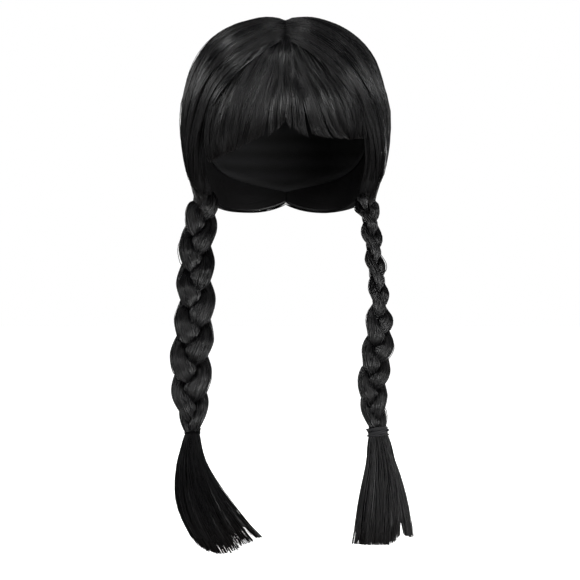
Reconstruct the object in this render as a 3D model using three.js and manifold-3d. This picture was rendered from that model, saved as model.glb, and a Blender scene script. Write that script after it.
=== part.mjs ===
// A pigtail wig of straight black hair: a cap, two halves of hair combed from a centre parting to
// behind the ears, a fringe in two halves, two plaits of three locks, their elastic ties and the
// loose tassels below them. Millimetres, +Z up. The face looks along -Y, and left is -X.
// The origin is the inside of the cap, where it rests on top of the head.
import * as THREE from "three";
import Module from "manifold-3d";

const { clamp, degToRad, lerp, smoothstep } = THREE.MathUtils;
const solids = await Module();
solids.setup();

// The head that the wig fits, measured from its widest level
const HEAD_HALF_WIDTH = 75;
const HEAD_FRONT = 89;
const HEAD_BACK = 100;
const HEAD_HEIGHT = 75; // from its widest level up to the cap
const HEAD_LOWER_DEPTH = 150; // from its widest level down to the end of the table of sections
const HEAD_POWER = 2.3; // of its rounded sections: 2 would make them ellipses

// Walls and clearances
const CAP_WALL = 1.6;
const CAP_CLEARANCE = 1.1; // between the cap and the hair that is sewn to it
const LOCK_CLEARANCE = 0.4; // between the locks of a plait
const CLEARANCE = 0.35; // between other pieces that meet

// Depth of the hair outside the cap
const HAIR_SIDE = 15.5;
const HAIR_FRONT = 12;
const HAIR_BACK = 13;
const HAIR_TOP = 14.5;

// The parting, as angles from straight up towards the back, and the bundles behind the ears
const PARTING_FRONT_ANGLE = -44;
const PARTING_NAPE_ANGLE = 134;
const PARTING_VALLEY = 0.24; // share of the hair's depth that is missing at the parting
const PARTING_BANK = 0.12; // share of a lock's length over which that depth comes back
const LOCKS_PER_HALF = 8;
const LOCK_GROOVE = 0.17; // share of the hair's depth that is missing between two locks
const NAPE_LIFT = 0.55; // how far the nape's hair is swept up on its way to the bundle
const TEMPLE_BOW = 0.12; // how far the front edge bows forward over the temple
const BUNDLE_Y = 2;
const BUNDLE_Z = -143.5;
const BUNDLE_HALF_LENGTH = 8.5;
const BUNDLE_TILT = 20; // how far the bundle's lower face leans to the front, in degrees

// The fringe, which fans out from the front of the parting. Its locks are notched at the hem.
const FRINGE_ROOT = 0.12; // share of the crown's front edge along which its roots lie
const FRINGE_SIDE = 0.68; // share of that edge down to which the fringe lies against it
const FRINGE_LOCKS = 6;
const FRINGE_NOTCH = 0.07; // share of a lock's length

// The cap's edge: reach is its angle from straight up, and turn goes from front to back
const CAP_EDGE = [
  { turn: 0, reach: 50 },
  { turn: 45, reach: 58 },
  { turn: 75, reach: 78 },
  { turn: 100, reach: 98 },
  { turn: 135, reach: 117 },
  { turn: 180, reach: 127 },
];

// Sections of the head below its widest level: drop is a share of HEAD_LOWER_DEPTH, the others are
// shares of the widest section
const HEAD_SECTIONS = [
  { drop: 0, side: 1, front: 1, back: 1 },
  { drop: 0.15, side: 0.985, front: 0.99, back: 0.97 },
  { drop: 0.3, side: 0.93, front: 0.97, back: 0.88 },
  { drop: 0.45, side: 0.82, front: 0.94, back: 0.74 },
  { drop: 0.6, side: 0.74, front: 0.9, back: 0.64 },
  { drop: 1, side: 0.7, front: 0.85, back: 0.6 },
];

// Depth of the hair from the parting down to the bundle, as a share of its depth outside the cap
const CROWN_DEPTHS = [
  { along: 0, depth: 1 },
  { along: 0.6, depth: 1 },
  { along: 0.85, depth: 1.04 },
  { along: 1, depth: 1.24 },
];

// The same for the fringe, from its roots to its tips
const FRINGE_DEPTHS = [
  { along: 0, depth: 0.72 },
  { along: 0.3, depth: 0.8 },
  { along: 0.75, depth: 0.55 },
  { along: 1, depth: 0.26 },
];

// The fringe's hem, from the middle to the temple: turn is in degrees from the front, and drop is
// a share of HEAD_HEIGHT below the widest level
const LEFT_HEM = [
  { across: 0, turn: 0.5, drop: 0.08 },
  { across: 0.12, turn: 5, drop: 0.18 },
  { across: 0.25, turn: 10, drop: 0.27 },
  { across: 0.5, turn: 24, drop: 0.38 },
  { across: 0.75, turn: 38, drop: 0.47 },
  { across: 1, turn: 53, drop: 0.54 },
];
const RIGHT_HEM = [
  { across: 0, turn: 0.5, drop: 0.08 },
  { across: 0.12, turn: 4, drop: 0.16 },
  { across: 0.25, turn: 9, drop: 0.22 },
  { across: 0.5, turn: 22, drop: 0.28 },
  { across: 0.75, turn: 36, drop: 0.29 },
  { across: 1, turn: 51, drop: 0.27 },
];

// How a plait's locks travel sideways and in and out, and how round they are, as shares of the
// plait's own half width and half depth
const PLAIT_SWING = 0.45;
const PLAIT_WEAVE = 0.42;
const PLAIT_ROUND = 0.62;

// The two pigtails. In route, down is a share of drop, forward a share of forward, and out a share
// of halfWidth. fullness is a share of halfWidth and halfDepth, and roll turns the plait's flat
// face outwards, in degrees.
const LEFT_PIGTAIL = {
  drop: 208,
  forward: 77,
  halfWidth: 17.2,
  halfDepth: 10.6,
  turns: 2.15,
  phase: 226,
  tieWire: 1.5,
  tieTurns: 1,
  route: [
    { down: 0, out: 0, forward: 0, fullness: 0.58, roll: 0 },
    { down: 0.03, out: 0.01, forward: 0.03, fullness: 0.7, roll: 0 },
    { down: 0.08, out: 0.2, forward: 0.08, fullness: 0.82, roll: 0 },
    { down: 0.19, out: 0.41, forward: 0.18, fullness: 0.86, roll: 0 },
    { down: 0.31, out: 0.45, forward: 0.34, fullness: 0.9, roll: 0 },
    { down: 0.5, out: 0.45, forward: 0.6, fullness: 0.96, roll: 0 },
    { down: 0.67, out: 0.6, forward: 0.81, fullness: 1, roll: 0 },
    { down: 0.83, out: 0.6, forward: 0.93, fullness: 0.92, roll: 0 },
    { down: 0.93, out: 0.55, forward: 0.98, fullness: 0.66, roll: 0 },
    { down: 1, out: 0.52, forward: 1, fullness: 0.32, roll: 0 },
  ],
};
const RIGHT_PIGTAIL = {
  drop: 207,
  forward: 77,
  halfWidth: 12.9,
  halfDepth: 8,
  turns: 2.8,
  phase: 190,
  tieWire: 1.7,
  tieTurns: 3,
  route: [
    { down: 0, out: 0, forward: 0, fullness: 0.74, roll: 20 },
    { down: 0.03, out: 0.01, forward: 0.03, fullness: 0.85, roll: 34 },
    { down: 0.08, out: 0.24, forward: 0.08, fullness: 0.9, roll: 58 },
    { down: 0.19, out: 0.46, forward: 0.18, fullness: 0.87, roll: 66 },
    { down: 0.31, out: 0.67, forward: 0.34, fullness: 0.84, roll: 68 },
    { down: 0.45, out: 0.86, forward: 0.54, fullness: 0.86, roll: 58 },
    { down: 0.6, out: 0.8, forward: 0.74, fullness: 1, roll: 22 },
    { down: 0.83, out: 0.32, forward: 0.94, fullness: 0.94, roll: 0 },
    { down: 0.94, out: 0.52, forward: 0.98, fullness: 0.72, roll: 0 },
    { down: 1, out: 0.66, forward: 1, fullness: 0.5, roll: 0 },
  ],
};

// The tassels. Each lock's row gives where it is half way down and at its tip, from the tie: X and
// front are shares of reach, and down is a share of length. half is its half width as a share of
// reach.
const LEFT_TASSEL = {
  length: 104,
  reach: 62,
  locks: [
    { midX: -0.17, midFront: 0, midDown: 0.47, tipX: 0.06, tipFront: 0.02, tipDown: 0.9, half: 0.11 },
    { midX: -0.11, midFront: 0.07, midDown: 0.5, tipX: 0.2, tipFront: 0.07, tipDown: 0.97, half: 0.13 },
    { midX: -0.02, midFront: 0.09, midDown: 0.5, tipX: 0.35, tipFront: 0.1, tipDown: 1, half: 0.135 },
    { midX: 0.09, midFront: 0.09, midDown: 0.48, tipX: 0.51, tipFront: 0.11, tipDown: 0.99, half: 0.135 },
    { midX: 0.2, midFront: 0.06, midDown: 0.44, tipX: 0.68, tipFront: 0.09, tipDown: 0.94, half: 0.125 },
    { midX: 0.28, midFront: 0.01, midDown: 0.42, tipX: 0.88, tipFront: 0.06, tipDown: 0.88, half: 0.1 },
    { midX: 0.02, midFront: -0.04, midDown: 0.48, tipX: 0.42, tipFront: -0.03, tipDown: 0.94, half: 0.19 },
  ],
};
const RIGHT_TASSEL = {
  length: 97,
  reach: 30,
  locks: [
    { midX: -0.3, midFront: 0, midDown: 0.5, tipX: -0.6, tipFront: 0, tipDown: 1, half: 0.22 },
    { midX: -0.12, midFront: 0.13, midDown: 0.5, tipX: -0.34, tipFront: 0.18, tipDown: 1, half: 0.25 },
    { midX: 0.08, midFront: 0.17, midDown: 0.5, tipX: 0, tipFront: 0.22, tipDown: 1, half: 0.27 },
    { midX: 0.28, midFront: 0.15, midDown: 0.49, tipX: 0.32, tipFront: 0.2, tipDown: 1, half: 0.25 },
    { midX: 0.46, midFront: 0.08, midDown: 0.46, tipX: 0.64, tipFront: 0.12, tipDown: 0.9, half: 0.22 },
    { midX: 0.58, midFront: 0, midDown: 0.43, tipX: 0.92, tipFront: 0.04, tipDown: 0.93, half: 0.18 },
    { midX: 0.1, midFront: -0.14, midDown: 0.48, tipX: 0.06, tipFront: -0.12, tipDown: 0.98, half: 0.36 },
  ],
};
// How thick a tassel's locks are from front to back, as a share of their width
const TASSEL_FLATNESS = 0.6;
// How far below the tie the hair is still held in one bundle, as a share of the tassel's length
const TASSEL_NECK = 0.12;

const HAIR = { color: 0x0b0b0d, roughness: 0.38, metalness: 0 };
const NET = { color: 0x131315, roughness: 0.85, metalness: 0 };
const ELASTIC = { color: 0x1a1a1b, roughness: 0.55, metalness: 0 };

const HEAD_CENTRE = new THREE.Vector3(0, 0, -HEAD_HEIGHT);
const UP = new THREE.Vector3(0, 0, 1);
const FRONT = new THREE.Vector3(0, -1, 0);

// Reads every column of a table at a place between its rows, on a smooth curve through them
function readTable(rows, key, at) {
  const last = rows.length - 1;
  let i = 0;
  while (i < last - 1 && rows[i + 1][key] < at) i += 1;
  const step = rows[i + 1][key] - rows[i][key];
  const t = clamp((at - rows[i][key]) / step, 0, 1);
  const slope = (n, column) => {
    const before = rows[Math.max(n - 1, 0)];
    const after = rows[Math.min(n + 1, last)];
    return (after[column] - before[column]) / (after[key] - before[key]);
  };
  const row = {};
  for (const column of Object.keys(rows[i])) {
    const start = rows[i][column];
    const end = rows[i + 1][column];
    const rise = end - start;
    const bend = (1 - t) * (slope(i, column) * step - rise) - t * (slope(i + 1, column) * step - rise);
    row[column] = start + rise * t + t * (1 - t) * bend;
  }
  return row;
}

// The directions between two others, on the shortest way round
function between(from, to, share) {
  const angle = from.angleTo(to);
  const a = Math.sin((1 - share) * angle) / Math.sin(angle);
  const b = Math.sin(share * angle) / Math.sin(angle);
  return from.clone().multiplyScalar(a).addScaledVector(to, b);
}

// A direction from the middle of the head, given by a turn from the front and a height
function heading(side, turn, height) {
  const flat = new THREE.Vector3(side * Math.sin(degToRad(turn)), -Math.cos(degToRad(turn)), 0);
  const rise = height - HEAD_CENTRE.z;
  const dip = rise > 0 ? Math.atan(rise / HEAD_FRONT) : (rise / HEAD_LOWER_DEPTH) * (Math.PI / 2);
  return flat.multiplyScalar(Math.cos(dip)).addScaledVector(UP, Math.sin(dip));
}

// The distance from the middle at which a direction leaves a rounded section of given half axes
function roundedRadius(parts) {
  const sum = parts.reduce((total, [share, axis]) => total + Math.abs(share / axis) ** HEAD_POWER, 0);
  return sum ** (-1 / HEAD_POWER);
}

// The point in one direction of a shell round the head that stands off by growth on each side.
// Below the widest level the shell's sections are flat, and the direction's dip sets the height.
function shellPoint(direction, growth) {
  const flat = new THREE.Vector3(direction.x, direction.y, 0);
  const towardsFront = direction.y < 0;
  const reach = towardsFront ? HEAD_FRONT : HEAD_BACK;
  const stand = towardsFront ? growth.front : growth.back;
  if (direction.z >= 0) {
    const radius = roundedRadius([
      [direction.x, HEAD_HALF_WIDTH + growth.side],
      [direction.y, reach + stand],
      [direction.z, HEAD_HEIGHT + growth.top],
    ]);
    return direction.clone().multiplyScalar(radius).add(HEAD_CENTRE);
  }
  const dip = Math.asin(Math.min(-direction.z, 1)) / (Math.PI / 2);
  const section = readTable(HEAD_SECTIONS, "drop", dip);
  flat.normalize();
  const radius = roundedRadius([
    [flat.x, HEAD_HALF_WIDTH * section.side + growth.side],
    [flat.y, reach * (towardsFront ? section.front : section.back) + stand],
  ]);
  return flat.multiplyScalar(radius).add(HEAD_CENTRE).addScaledVector(UP, -dip * HEAD_LOWER_DEPTH);
}

// The point in one direction inside the hair: depth 0 is next to the cap, 1 its usual surface
function hairPoint(direction, depth) {
  const base = CAP_WALL + CAP_CLEARANCE;
  return shellPoint(direction, {
    side: base + depth * HAIR_SIDE,
    front: base + depth * HAIR_FRONT,
    back: base + depth * HAIR_BACK,
    top: base + depth * HAIR_TOP,
  });
}

// How deep the groove is beside a lock: 0 on its ridge, 1 at its edge
function groove(across, locks) {
  return 1 - Math.abs(Math.sin(Math.PI * across * locks)) ** 0.7;
}

// The direction of a lock in one half of the crown: across goes from the front edge to the nape,
// and along from the parting to the bundle behind the ear
function crownDirection(side, across, along) {
  const angle = degToRad(lerp(PARTING_FRONT_ANGLE, PARTING_NAPE_ANGLE, across));
  const root = new THREE.Vector3(0, Math.sin(angle), Math.cos(angle));
  const tilt = degToRad(BUNDLE_TILT);
  const offset = lerp(-BUNDLE_HALF_LENGTH, BUNDLE_HALF_LENGTH, across);
  const y = BUNDLE_Y + offset * Math.cos(tilt);
  const z = BUNDLE_Z - offset * Math.sin(tilt);
  const turn = 90 + THREE.MathUtils.radToDeg(Math.atan2(y, HEAD_HALF_WIDTH));
  const end = heading(side, turn, z);
  const lift = NAPE_LIFT * across * along ** 2 * (1 - along);
  const bow = TEMPLE_BOW * (1 - across) ** 3 * along * (1 - along);
  return between(root, end, along).add(new THREE.Vector3(0, 0.4 * lift - bow, 0.9 * lift)).normalize();
}

// The hair's depth in the crown, with its parting, locks and thinner edges
function crownDepth(across, along) {
  const bank = 1 - PARTING_VALLEY * (1 - smoothstep(along, 0, PARTING_BANK));
  const lock = 1 - LOCK_GROOVE * groove(across, LOCKS_PER_HALF) * smoothstep(along, 0, PARTING_BANK);
  const edge = 0.7 + 0.3 * smoothstep(Math.min(across, 1 - across), 0, 0.5 / LOCKS_PER_HALF);
  return readTable(CROWN_DEPTHS, "along", along).depth * bank * lock * lerp(edge, 1, along ** 6);
}

// The direction of a lock of the fringe: across goes from the middle to the temple, and along from
// its root to its tip. Its side lies against the crown's front edge and then leaves it.
function fringeDirection(side, hem, across, along) {
  const rootDirection = crownDirection(side, 0, 0);
  const forward = rootDirection.clone().cross(crownDirection(side, 0, 1)).normalize();
  forward.multiplyScalar(Math.sign(-forward.y) * ((2.2 * CLEARANCE) / HEAD_FRONT));
  const seam = (share) => crownDirection(side, 0, share).add(forward).normalize();
  const hemAt = (share) => {
    const row = readTable(hem, "across", share);
    return heading(side, row.turn, HEAD_CENTRE.z - row.drop * HEAD_HEIGHT);
  };
  const middle = (share) => between(seam(0).setX(0), hemAt(0), share);
  const edge = (share) => {
    const resting = seam(lerp(FRINGE_ROOT, FRINGE_SIDE, share));
    return between(resting, hemAt(1), smoothstep(share, 0.45, 1));
  };
  const fan = (share) => between(middle(share), edge(share), across);
  const pull = hemAt(across).sub(fan(1)).multiplyScalar(along ** 2);
  return fan(along).add(pull).normalize();
}

// A mesh with its faces turned outwards
function makeMesh(name, look, points, triangles) {
  let volume = 0;
  for (const [a, b, c] of triangles) {
    volume += points[a].dot(points[b].clone().cross(points[c]));
  }
  const outward = volume < 0 ? triangles.map(([a, b, c]) => [a, c, b]) : triangles;
  const geometry = new THREE.BufferGeometry();
  const positions = new THREE.Float32BufferAttribute(points.flatMap((p) => p.toArray()), 3);
  geometry.setAttribute("position", positions);
  geometry.setIndex(outward.flat());
  geometry.computeVertexNormals();
  const mesh = new THREE.Mesh(geometry, new THREE.MeshStandardMaterial(look));
  mesh.name = name;
  return mesh;
}

// A sheet with thickness: the outer and inner points of a grid, closed round its four edges
function makeSheet(name, look, columns, rows, outer, inner) {
  const points = [];
  for (const place of [outer, inner]) {
    for (let i = 0; i <= columns; i += 1) {
      for (let j = 0; j <= rows; j += 1) points.push(place(i / columns, j / rows));
    }
  }
  const layer = (columns + 1) * (rows + 1);
  const at = (i, j, k) => k * layer + i * (rows + 1) + j;
  const triangles = [];
  const quad = (a, b, c, d) => triangles.push([a, b, c], [a, c, d]);
  for (let i = 0; i < columns; i += 1) {
    for (let j = 0; j < rows; j += 1) {
      quad(at(i, j, 0), at(i + 1, j, 0), at(i + 1, j + 1, 0), at(i, j + 1, 0));
      quad(at(i, j, 1), at(i, j + 1, 1), at(i + 1, j + 1, 1), at(i + 1, j, 1));
    }
    quad(at(i, 0, 0), at(i, 0, 1), at(i + 1, 0, 1), at(i + 1, 0, 0));
    quad(at(i, rows, 0), at(i + 1, rows, 0), at(i + 1, rows, 1), at(i, rows, 1));
  }
  for (let j = 0; j < rows; j += 1) {
    quad(at(0, j, 0), at(0, j + 1, 0), at(0, j + 1, 1), at(0, j, 1));
    quad(at(columns, j, 0), at(columns, j, 1), at(columns, j + 1, 1), at(columns, j + 1, 0));
  }
  return makeMesh(name, look, points, triangles);
}

// The points and triangles of a solid drawn through rings of points, with a flat fan on each end
function loftRings(rings) {
  const sides = rings[0].length;
  const points = rings.flat();
  const triangles = [];
  for (let i = 0; i < rings.length - 1; i += 1) {
    for (let j = 0; j < sides; j += 1) {
      const a = i * sides + j;
      const b = i * sides + ((j + 1) % sides);
      triangles.push([a, b, b + sides], [a, b + sides, a + sides]);
    }
  }
  const foot = points.length - sides;
  for (let j = 1; j < sides - 1; j += 1) {
    triangles.push([0, j + 1, j], [foot, foot + j, foot + j + 1]);
  }
  return { points, triangles };
}

// An elliptical ring of points round a centre, in the plane of two directions
function ellipseRing(centre, across, deep, halfWidth, halfDepth, sides) {
  return Array.from({ length: sides }, (_, n) => {
    const angle = ((n + 0.5) / sides) * 2 * Math.PI;
    return centre.clone()
      .addScaledVector(across, halfWidth * Math.cos(angle))
      .addScaledVector(deep, halfDepth * Math.sin(angle));
  });
}

// Several closed bodies made one
function fuse(name, look, bodies) {
  const parts = bodies.map(({ points, triangles }) => {
    const mesh = makeMesh(name, look, points, triangles).geometry;
    const vertProperties = new Float32Array(mesh.getAttribute("position").array);
    const triVerts = new Uint32Array(mesh.getIndex().array);
    return new solids.Manifold(new solids.Mesh({ numProp: 3, vertProperties, triVerts }));
  });
  const result = solids.Manifold.union(parts).getMesh();
  const points = [];
  for (let i = 0; i < result.numVert; i += 1) {
    const place = result.vertProperties.slice(i * result.numProp, i * result.numProp + 3);
    points.push(new THREE.Vector3(...place));
  }
  const triangles = [];
  for (let i = 0; i < result.numTri; i += 1) {
    triangles.push([...result.triVerts.slice(i * 3, i * 3 + 3)]);
  }
  return makeMesh(name, look, points, triangles);
}

// The cap: a wall round the top of the head, from the hairline over the ears to the nape
function makeCap() {
  const turns = 24;
  const rings = 8;
  const points = [];
  for (const growth of [CAP_WALL, 0]) {
    const stand = { side: growth, front: growth, back: growth, top: growth };
    points.push(shellPoint(UP, stand));
    for (let j = 1; j <= rings; j += 1) {
      for (let i = 0; i < turns; i += 1) {
        const turn = (i / turns) * 2 * Math.PI;
        const fromFront = Math.abs(THREE.MathUtils.radToDeg(turn <= Math.PI ? turn : turn - 2 * Math.PI));
        const reach = degToRad(readTable(CAP_EDGE, "turn", fromFront).reach) * (j / rings);
        const flat = new THREE.Vector3(Math.sin(turn), -Math.cos(turn), 0);
        const direction = flat.multiplyScalar(Math.sin(reach)).addScaledVector(UP, Math.cos(reach));
        points.push(shellPoint(direction, stand));
      }
    }
  }
  const layer = 1 + turns * rings;
  const at = (i, j, k) => k * layer + (j === 0 ? 0 : 1 + (j - 1) * turns + (i % turns));
  const triangles = [];
  for (let i = 0; i < turns; i += 1) {
    triangles.push([at(i, 0, 0), at(i, 1, 0), at(i + 1, 1, 0)], [at(i, 0, 1), at(i + 1, 1, 1), at(i, 1, 1)]);
    for (let j = 1; j < rings; j += 1) {
      triangles.push([at(i, j, 0), at(i, j + 1, 0), at(i + 1, j + 1, 0)]);
      triangles.push([at(i, j, 0), at(i + 1, j + 1, 0), at(i + 1, j, 0)]);
      triangles.push([at(i, j, 1), at(i + 1, j + 1, 1), at(i, j + 1, 1)]);
      triangles.push([at(i, j, 1), at(i + 1, j, 1), at(i + 1, j + 1, 1)]);
    }
    triangles.push([at(i, rings, 0), at(i, rings, 1), at(i + 1, rings, 1)]);
    triangles.push([at(i, rings, 0), at(i + 1, rings, 1), at(i + 1, rings, 0)]);
  }
  return makeMesh("cap", NET, points, triangles);
}

// One half of the hair, combed from the parting over the side and back of the head
function makeCrown(name, side) {
  const outer = (across, along) => hairPoint(crownDirection(side, across, along), crownDepth(across, along));
  const inner = (across, along) => hairPoint(crownDirection(side, across, along), 0);
  const mesh = makeSheet(name, HAIR, 4 * LOCKS_PER_HALF, 9, outer, inner);
  mesh.position.x = side * (CLEARANCE / 2);
  return mesh;
}

// One half of the fringe
function makeFringe(name, side, hem) {
  const place = (across, along, depth) => {
    const notched = along * (1 - FRINGE_NOTCH * groove(across, FRINGE_LOCKS));
    return hairPoint(fringeDirection(side, hem, across, notched), depth);
  };
  const outer = (across, along) => {
    const lock = 1 - 1.4 * LOCK_GROOVE * groove(across, FRINGE_LOCKS) * along;
    return place(across, along, readTable(FRINGE_DEPTHS, "along", along).depth * lock);
  };
  const inner = (across, along) => place(across, along, 0);
  const mesh = makeSheet(name, HAIR, 4 * FRINGE_LOCKS, 8, outer, inner);
  mesh.position.x = side * (CLEARANCE / 2);
  return mesh;
}

// The middle of a bundle's lower face, where a plait begins
function bundleEnd(side) {
  const direction = crownDirection(side, 0.5, 1);
  const outer = hairPoint(direction, crownDepth(0.5, 1));
  return hairPoint(direction, 0).lerp(outer, 0.5);
}

// A plait's route from the bundle to the tie, measured from the bundle's end, as a function of the
// share of its drop
function plaitPlace(side, pigtail, down) {
  const row = readTable(pigtail.route, "down", down);
  const place = (share) => {
    const { out, forward } = readTable(pigtail.route, "down", share);
    return new THREE.Vector3(
      side * out * pigtail.halfWidth,
      -forward * pigtail.forward,
      -share * pigtail.drop,
    );
  };
  const ahead = clamp(down + 0.005, 0.01, 1);
  const tangent = place(ahead).sub(place(ahead - 0.01)).normalize();
  const deep = FRONT.clone().addScaledVector(tangent, -FRONT.dot(tangent)).normalize();
  deep.applyAxisAngle(tangent, degToRad(-side * row.roll));
  const wide = deep.clone().cross(tangent).normalize();
  return { centre: place(down), tangent, wide, deep, fullness: row.fullness };
}

// The middle of one of a plait's three locks at a turn, in shares of half width and half depth
function lockCentre(turn, number) {
  const phase = turn + (2 * Math.PI * number) / 3;
  return new THREE.Vector2(PLAIT_SWING * Math.sin(phase), PLAIT_WEAVE * Math.sin(2 * phase));
}

// The outline of a lock in a plait's section: a circle, cut flat where the lock presses on the
// other two. It also clears where they press half a step before and after, so that solids drawn
// from section to section stay apart.
function lockOutline(turn, step, number, gap, sides) {
  const centre = lockCentre(turn, number);
  return Array.from({ length: sides }, (_, n) => {
    const angle = ((n + 0.5) / sides) * 2 * Math.PI;
    const out = new THREE.Vector2(Math.cos(angle), Math.sin(angle));
    let radius = PLAIT_ROUND;
    for (const other of [number + 1, number + 2]) {
      for (const near of [turn - step / 2, turn - step / 4, turn, turn + step / 4, turn + step / 2]) {
        const own = lockCentre(near, number);
        const apart = lockCentre(near, other).sub(own);
        const half = apart.length() / 2;
        apart.normalize();
        const reach = half - gap - centre.clone().sub(own).dot(apart);
        const facing = out.dot(apart);
        if (facing > 0) radius = Math.min(radius, reach / facing);
      }
    }
    return out.multiplyScalar(radius).add(centre);
  });
}

// One of the three locks of a plait
function makePlaitLock(name, side, pigtail, number) {
  const steps = 48;
  const step = degToRad((360 * pigtail.turns) / steps);
  const rings = [];
  for (let i = 0; i <= steps; i += 1) {
    const down = i / steps;
    const { centre, wide, deep, fullness } = plaitPlace(side, pigtail, down);
    const width = pigtail.halfWidth * fullness;
    const depth = pigtail.halfDepth * fullness;
    const turn = degToRad(pigtail.phase + 360 * pigtail.turns * down);
    const outline = lockOutline(turn, step, number, LOCK_CLEARANCE / 2 / depth, 7);
    rings.push(outline.map((p) => centre.clone()
      .addScaledVector(wide, p.x * width)
      .addScaledVector(deep, -p.y * depth)));
  }
  const { points, triangles } = loftRings(rings);
  return makeMesh(name, HAIR, points, triangles);
}

// The half axes of the hair where the tie is wound round it
function tiedHair(pigtail) {
  const { fullness } = pigtail.route[pigtail.route.length - 1];
  const halfWidth = 1.15 * fullness * pigtail.halfWidth;
  const halfDepth = 1.18 * fullness * pigtail.halfDepth;
  return { halfWidth, halfDepth };
}

// The elastic wound round the end of a plait, about its own middle
function makeTie(name, side, pigtail) {
  const { wide, deep, tangent } = plaitPlace(side, pigtail, 1);
  const { halfWidth, halfDepth } = tiedHair(pigtail);
  const wire = pigtail.tieWire;
  const loopWidth = halfWidth + CLEARANCE + wire;
  const loopDepth = halfDepth + CLEARANCE + wire;
  const bodies = [];
  for (let n = 0; n < pigtail.tieTurns; n += 1) {
    const level = (n - (pigtail.tieTurns - 1) / 2) * 1.7 * wire;
    const slant = pigtail.tieTurns > 1 ? 0.12 * (n % 2 ? -1 : 1) : 0;
    bodies.push(makeLoop(wide, deep, tangent, level, slant, loopWidth, loopDepth, wire));
  }
  return fuse(name, ELASTIC, bodies);
}

// A closed loop of round elastic
function makeLoop(wide, deep, tangent, level, slant, halfWidth, halfDepth, wire) {
  const turns = 14;
  const sides = 5;
  const points = [];
  for (let i = 0; i < turns; i += 1) {
    const turn = (i / turns) * 2 * Math.PI;
    const out = wide.clone().multiplyScalar(Math.cos(turn)).addScaledVector(deep, Math.sin(turn));
    const centre = wide.clone().multiplyScalar(halfWidth * Math.cos(turn))
      .addScaledVector(deep, halfDepth * Math.sin(turn))
      .addScaledVector(tangent, level + slant * halfWidth * Math.cos(turn));
    points.push(...ellipseRing(centre, out, tangent, wire, wire, sides));
  }
  const triangles = [];
  for (let i = 0; i < turns; i += 1) {
    for (let j = 0; j < sides; j += 1) {
      const a = i * sides + j;
      const b = i * sides + ((j + 1) % sides);
      const c = ((i + 1) % turns) * sides + ((j + 1) % sides);
      const d = ((i + 1) % turns) * sides + j;
      triangles.push([a, b, c], [a, c, d]);
    }
  }
  return { points, triangles };
}

// The loose hair below a tie, about the tie's middle: locks fused to the plug inside the tie
function makeTassel(name, side, pigtail, tassel) {
  const { wide, deep, tangent } = plaitPlace(side, pigtail, 1);
  const { halfWidth, halfDepth } = tiedHair(pigtail);
  const across = new THREE.Vector3(1, 0, 0);
  const top = tangent.clone().multiplyScalar(CLEARANCE);
  const neck = new THREE.Vector3(0, 0, -TASSEL_NECK * tassel.length);
  const bodies = [loftRings([
    ellipseRing(top, wide, deep, 0.92 * halfWidth, 0.92 * halfDepth, 10),
    ellipseRing(neck, wide, deep, 1.3 * halfWidth, 1.2 * halfDepth, 10),
  ])];
  for (const lock of tassel.locks) {
    const place = (out, forward, down) =>
      new THREE.Vector3(out * tassel.reach, -forward * tassel.reach, -down * tassel.length);
    const curve = new THREE.CatmullRomCurve3([
      place(0.35 * lock.midX, 0.35 * lock.midFront, 0.5 * TASSEL_NECK),
      place(lock.midX, lock.midFront, lock.midDown),
      place(lock.tipX, lock.tipFront, lock.tipDown),
    ]);
    const rings = [];
    for (let i = 0; i <= 6; i += 1) {
      const share = i / 6;
      const fullness = lerp(0.4, 1, smoothstep(share, 0, 0.45)) * lerp(1, 0.8, share ** 4);
      const size = lock.half * tassel.reach * fullness;
      const depth = TASSEL_FLATNESS * size * lerp(1, 0.5, share ** 2);
      rings.push(ellipseRing(curve.getPoint(share), across, FRONT, size, depth, 6));
    }
    bodies.push(loftRings(rings));
  }
  return fuse(name, HAIR, bodies);
}

// A plait with its tie and tassel, placed where the bundle ends
function makePigtail(word, side, pigtail, tassel) {
  const group = new THREE.Group();
  const { tangent } = plaitPlace(side, pigtail, 0);
  group.position.copy(bundleEnd(side)).addScaledVector(tangent, 2 * CLEARANCE);
  for (let number = 0; number < 3; number += 1) {
    group.add(makePlaitLock(`${word}_braid_strand_${number + 1}`, side, pigtail, number));
  }
  const end = plaitPlace(side, pigtail, 1).centre;
  const tie = makeTie(`${word}_tie`, side, pigtail);
  const tail = makeTassel(`${word}_tassel`, side, pigtail, tassel);
  tie.position.copy(end);
  tail.position.copy(end);
  group.add(tie, tail);
  return group;
}

const wig = new THREE.Group();
wig.name = "pigtail_wig";
wig.add(
  makeCap(),
  makeCrown("crown_left", -1),
  makeCrown("crown_right", 1),
  makeFringe("fringe_left", -1, LEFT_HEM),
  makeFringe("fringe_right", 1, RIGHT_HEM),
  makePigtail("left", -1, LEFT_PIGTAIL, LEFT_TASSEL),
  makePigtail("right", 1, RIGHT_PIGTAIL, RIGHT_TASSEL),
);

export default wig;
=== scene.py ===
import math

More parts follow.
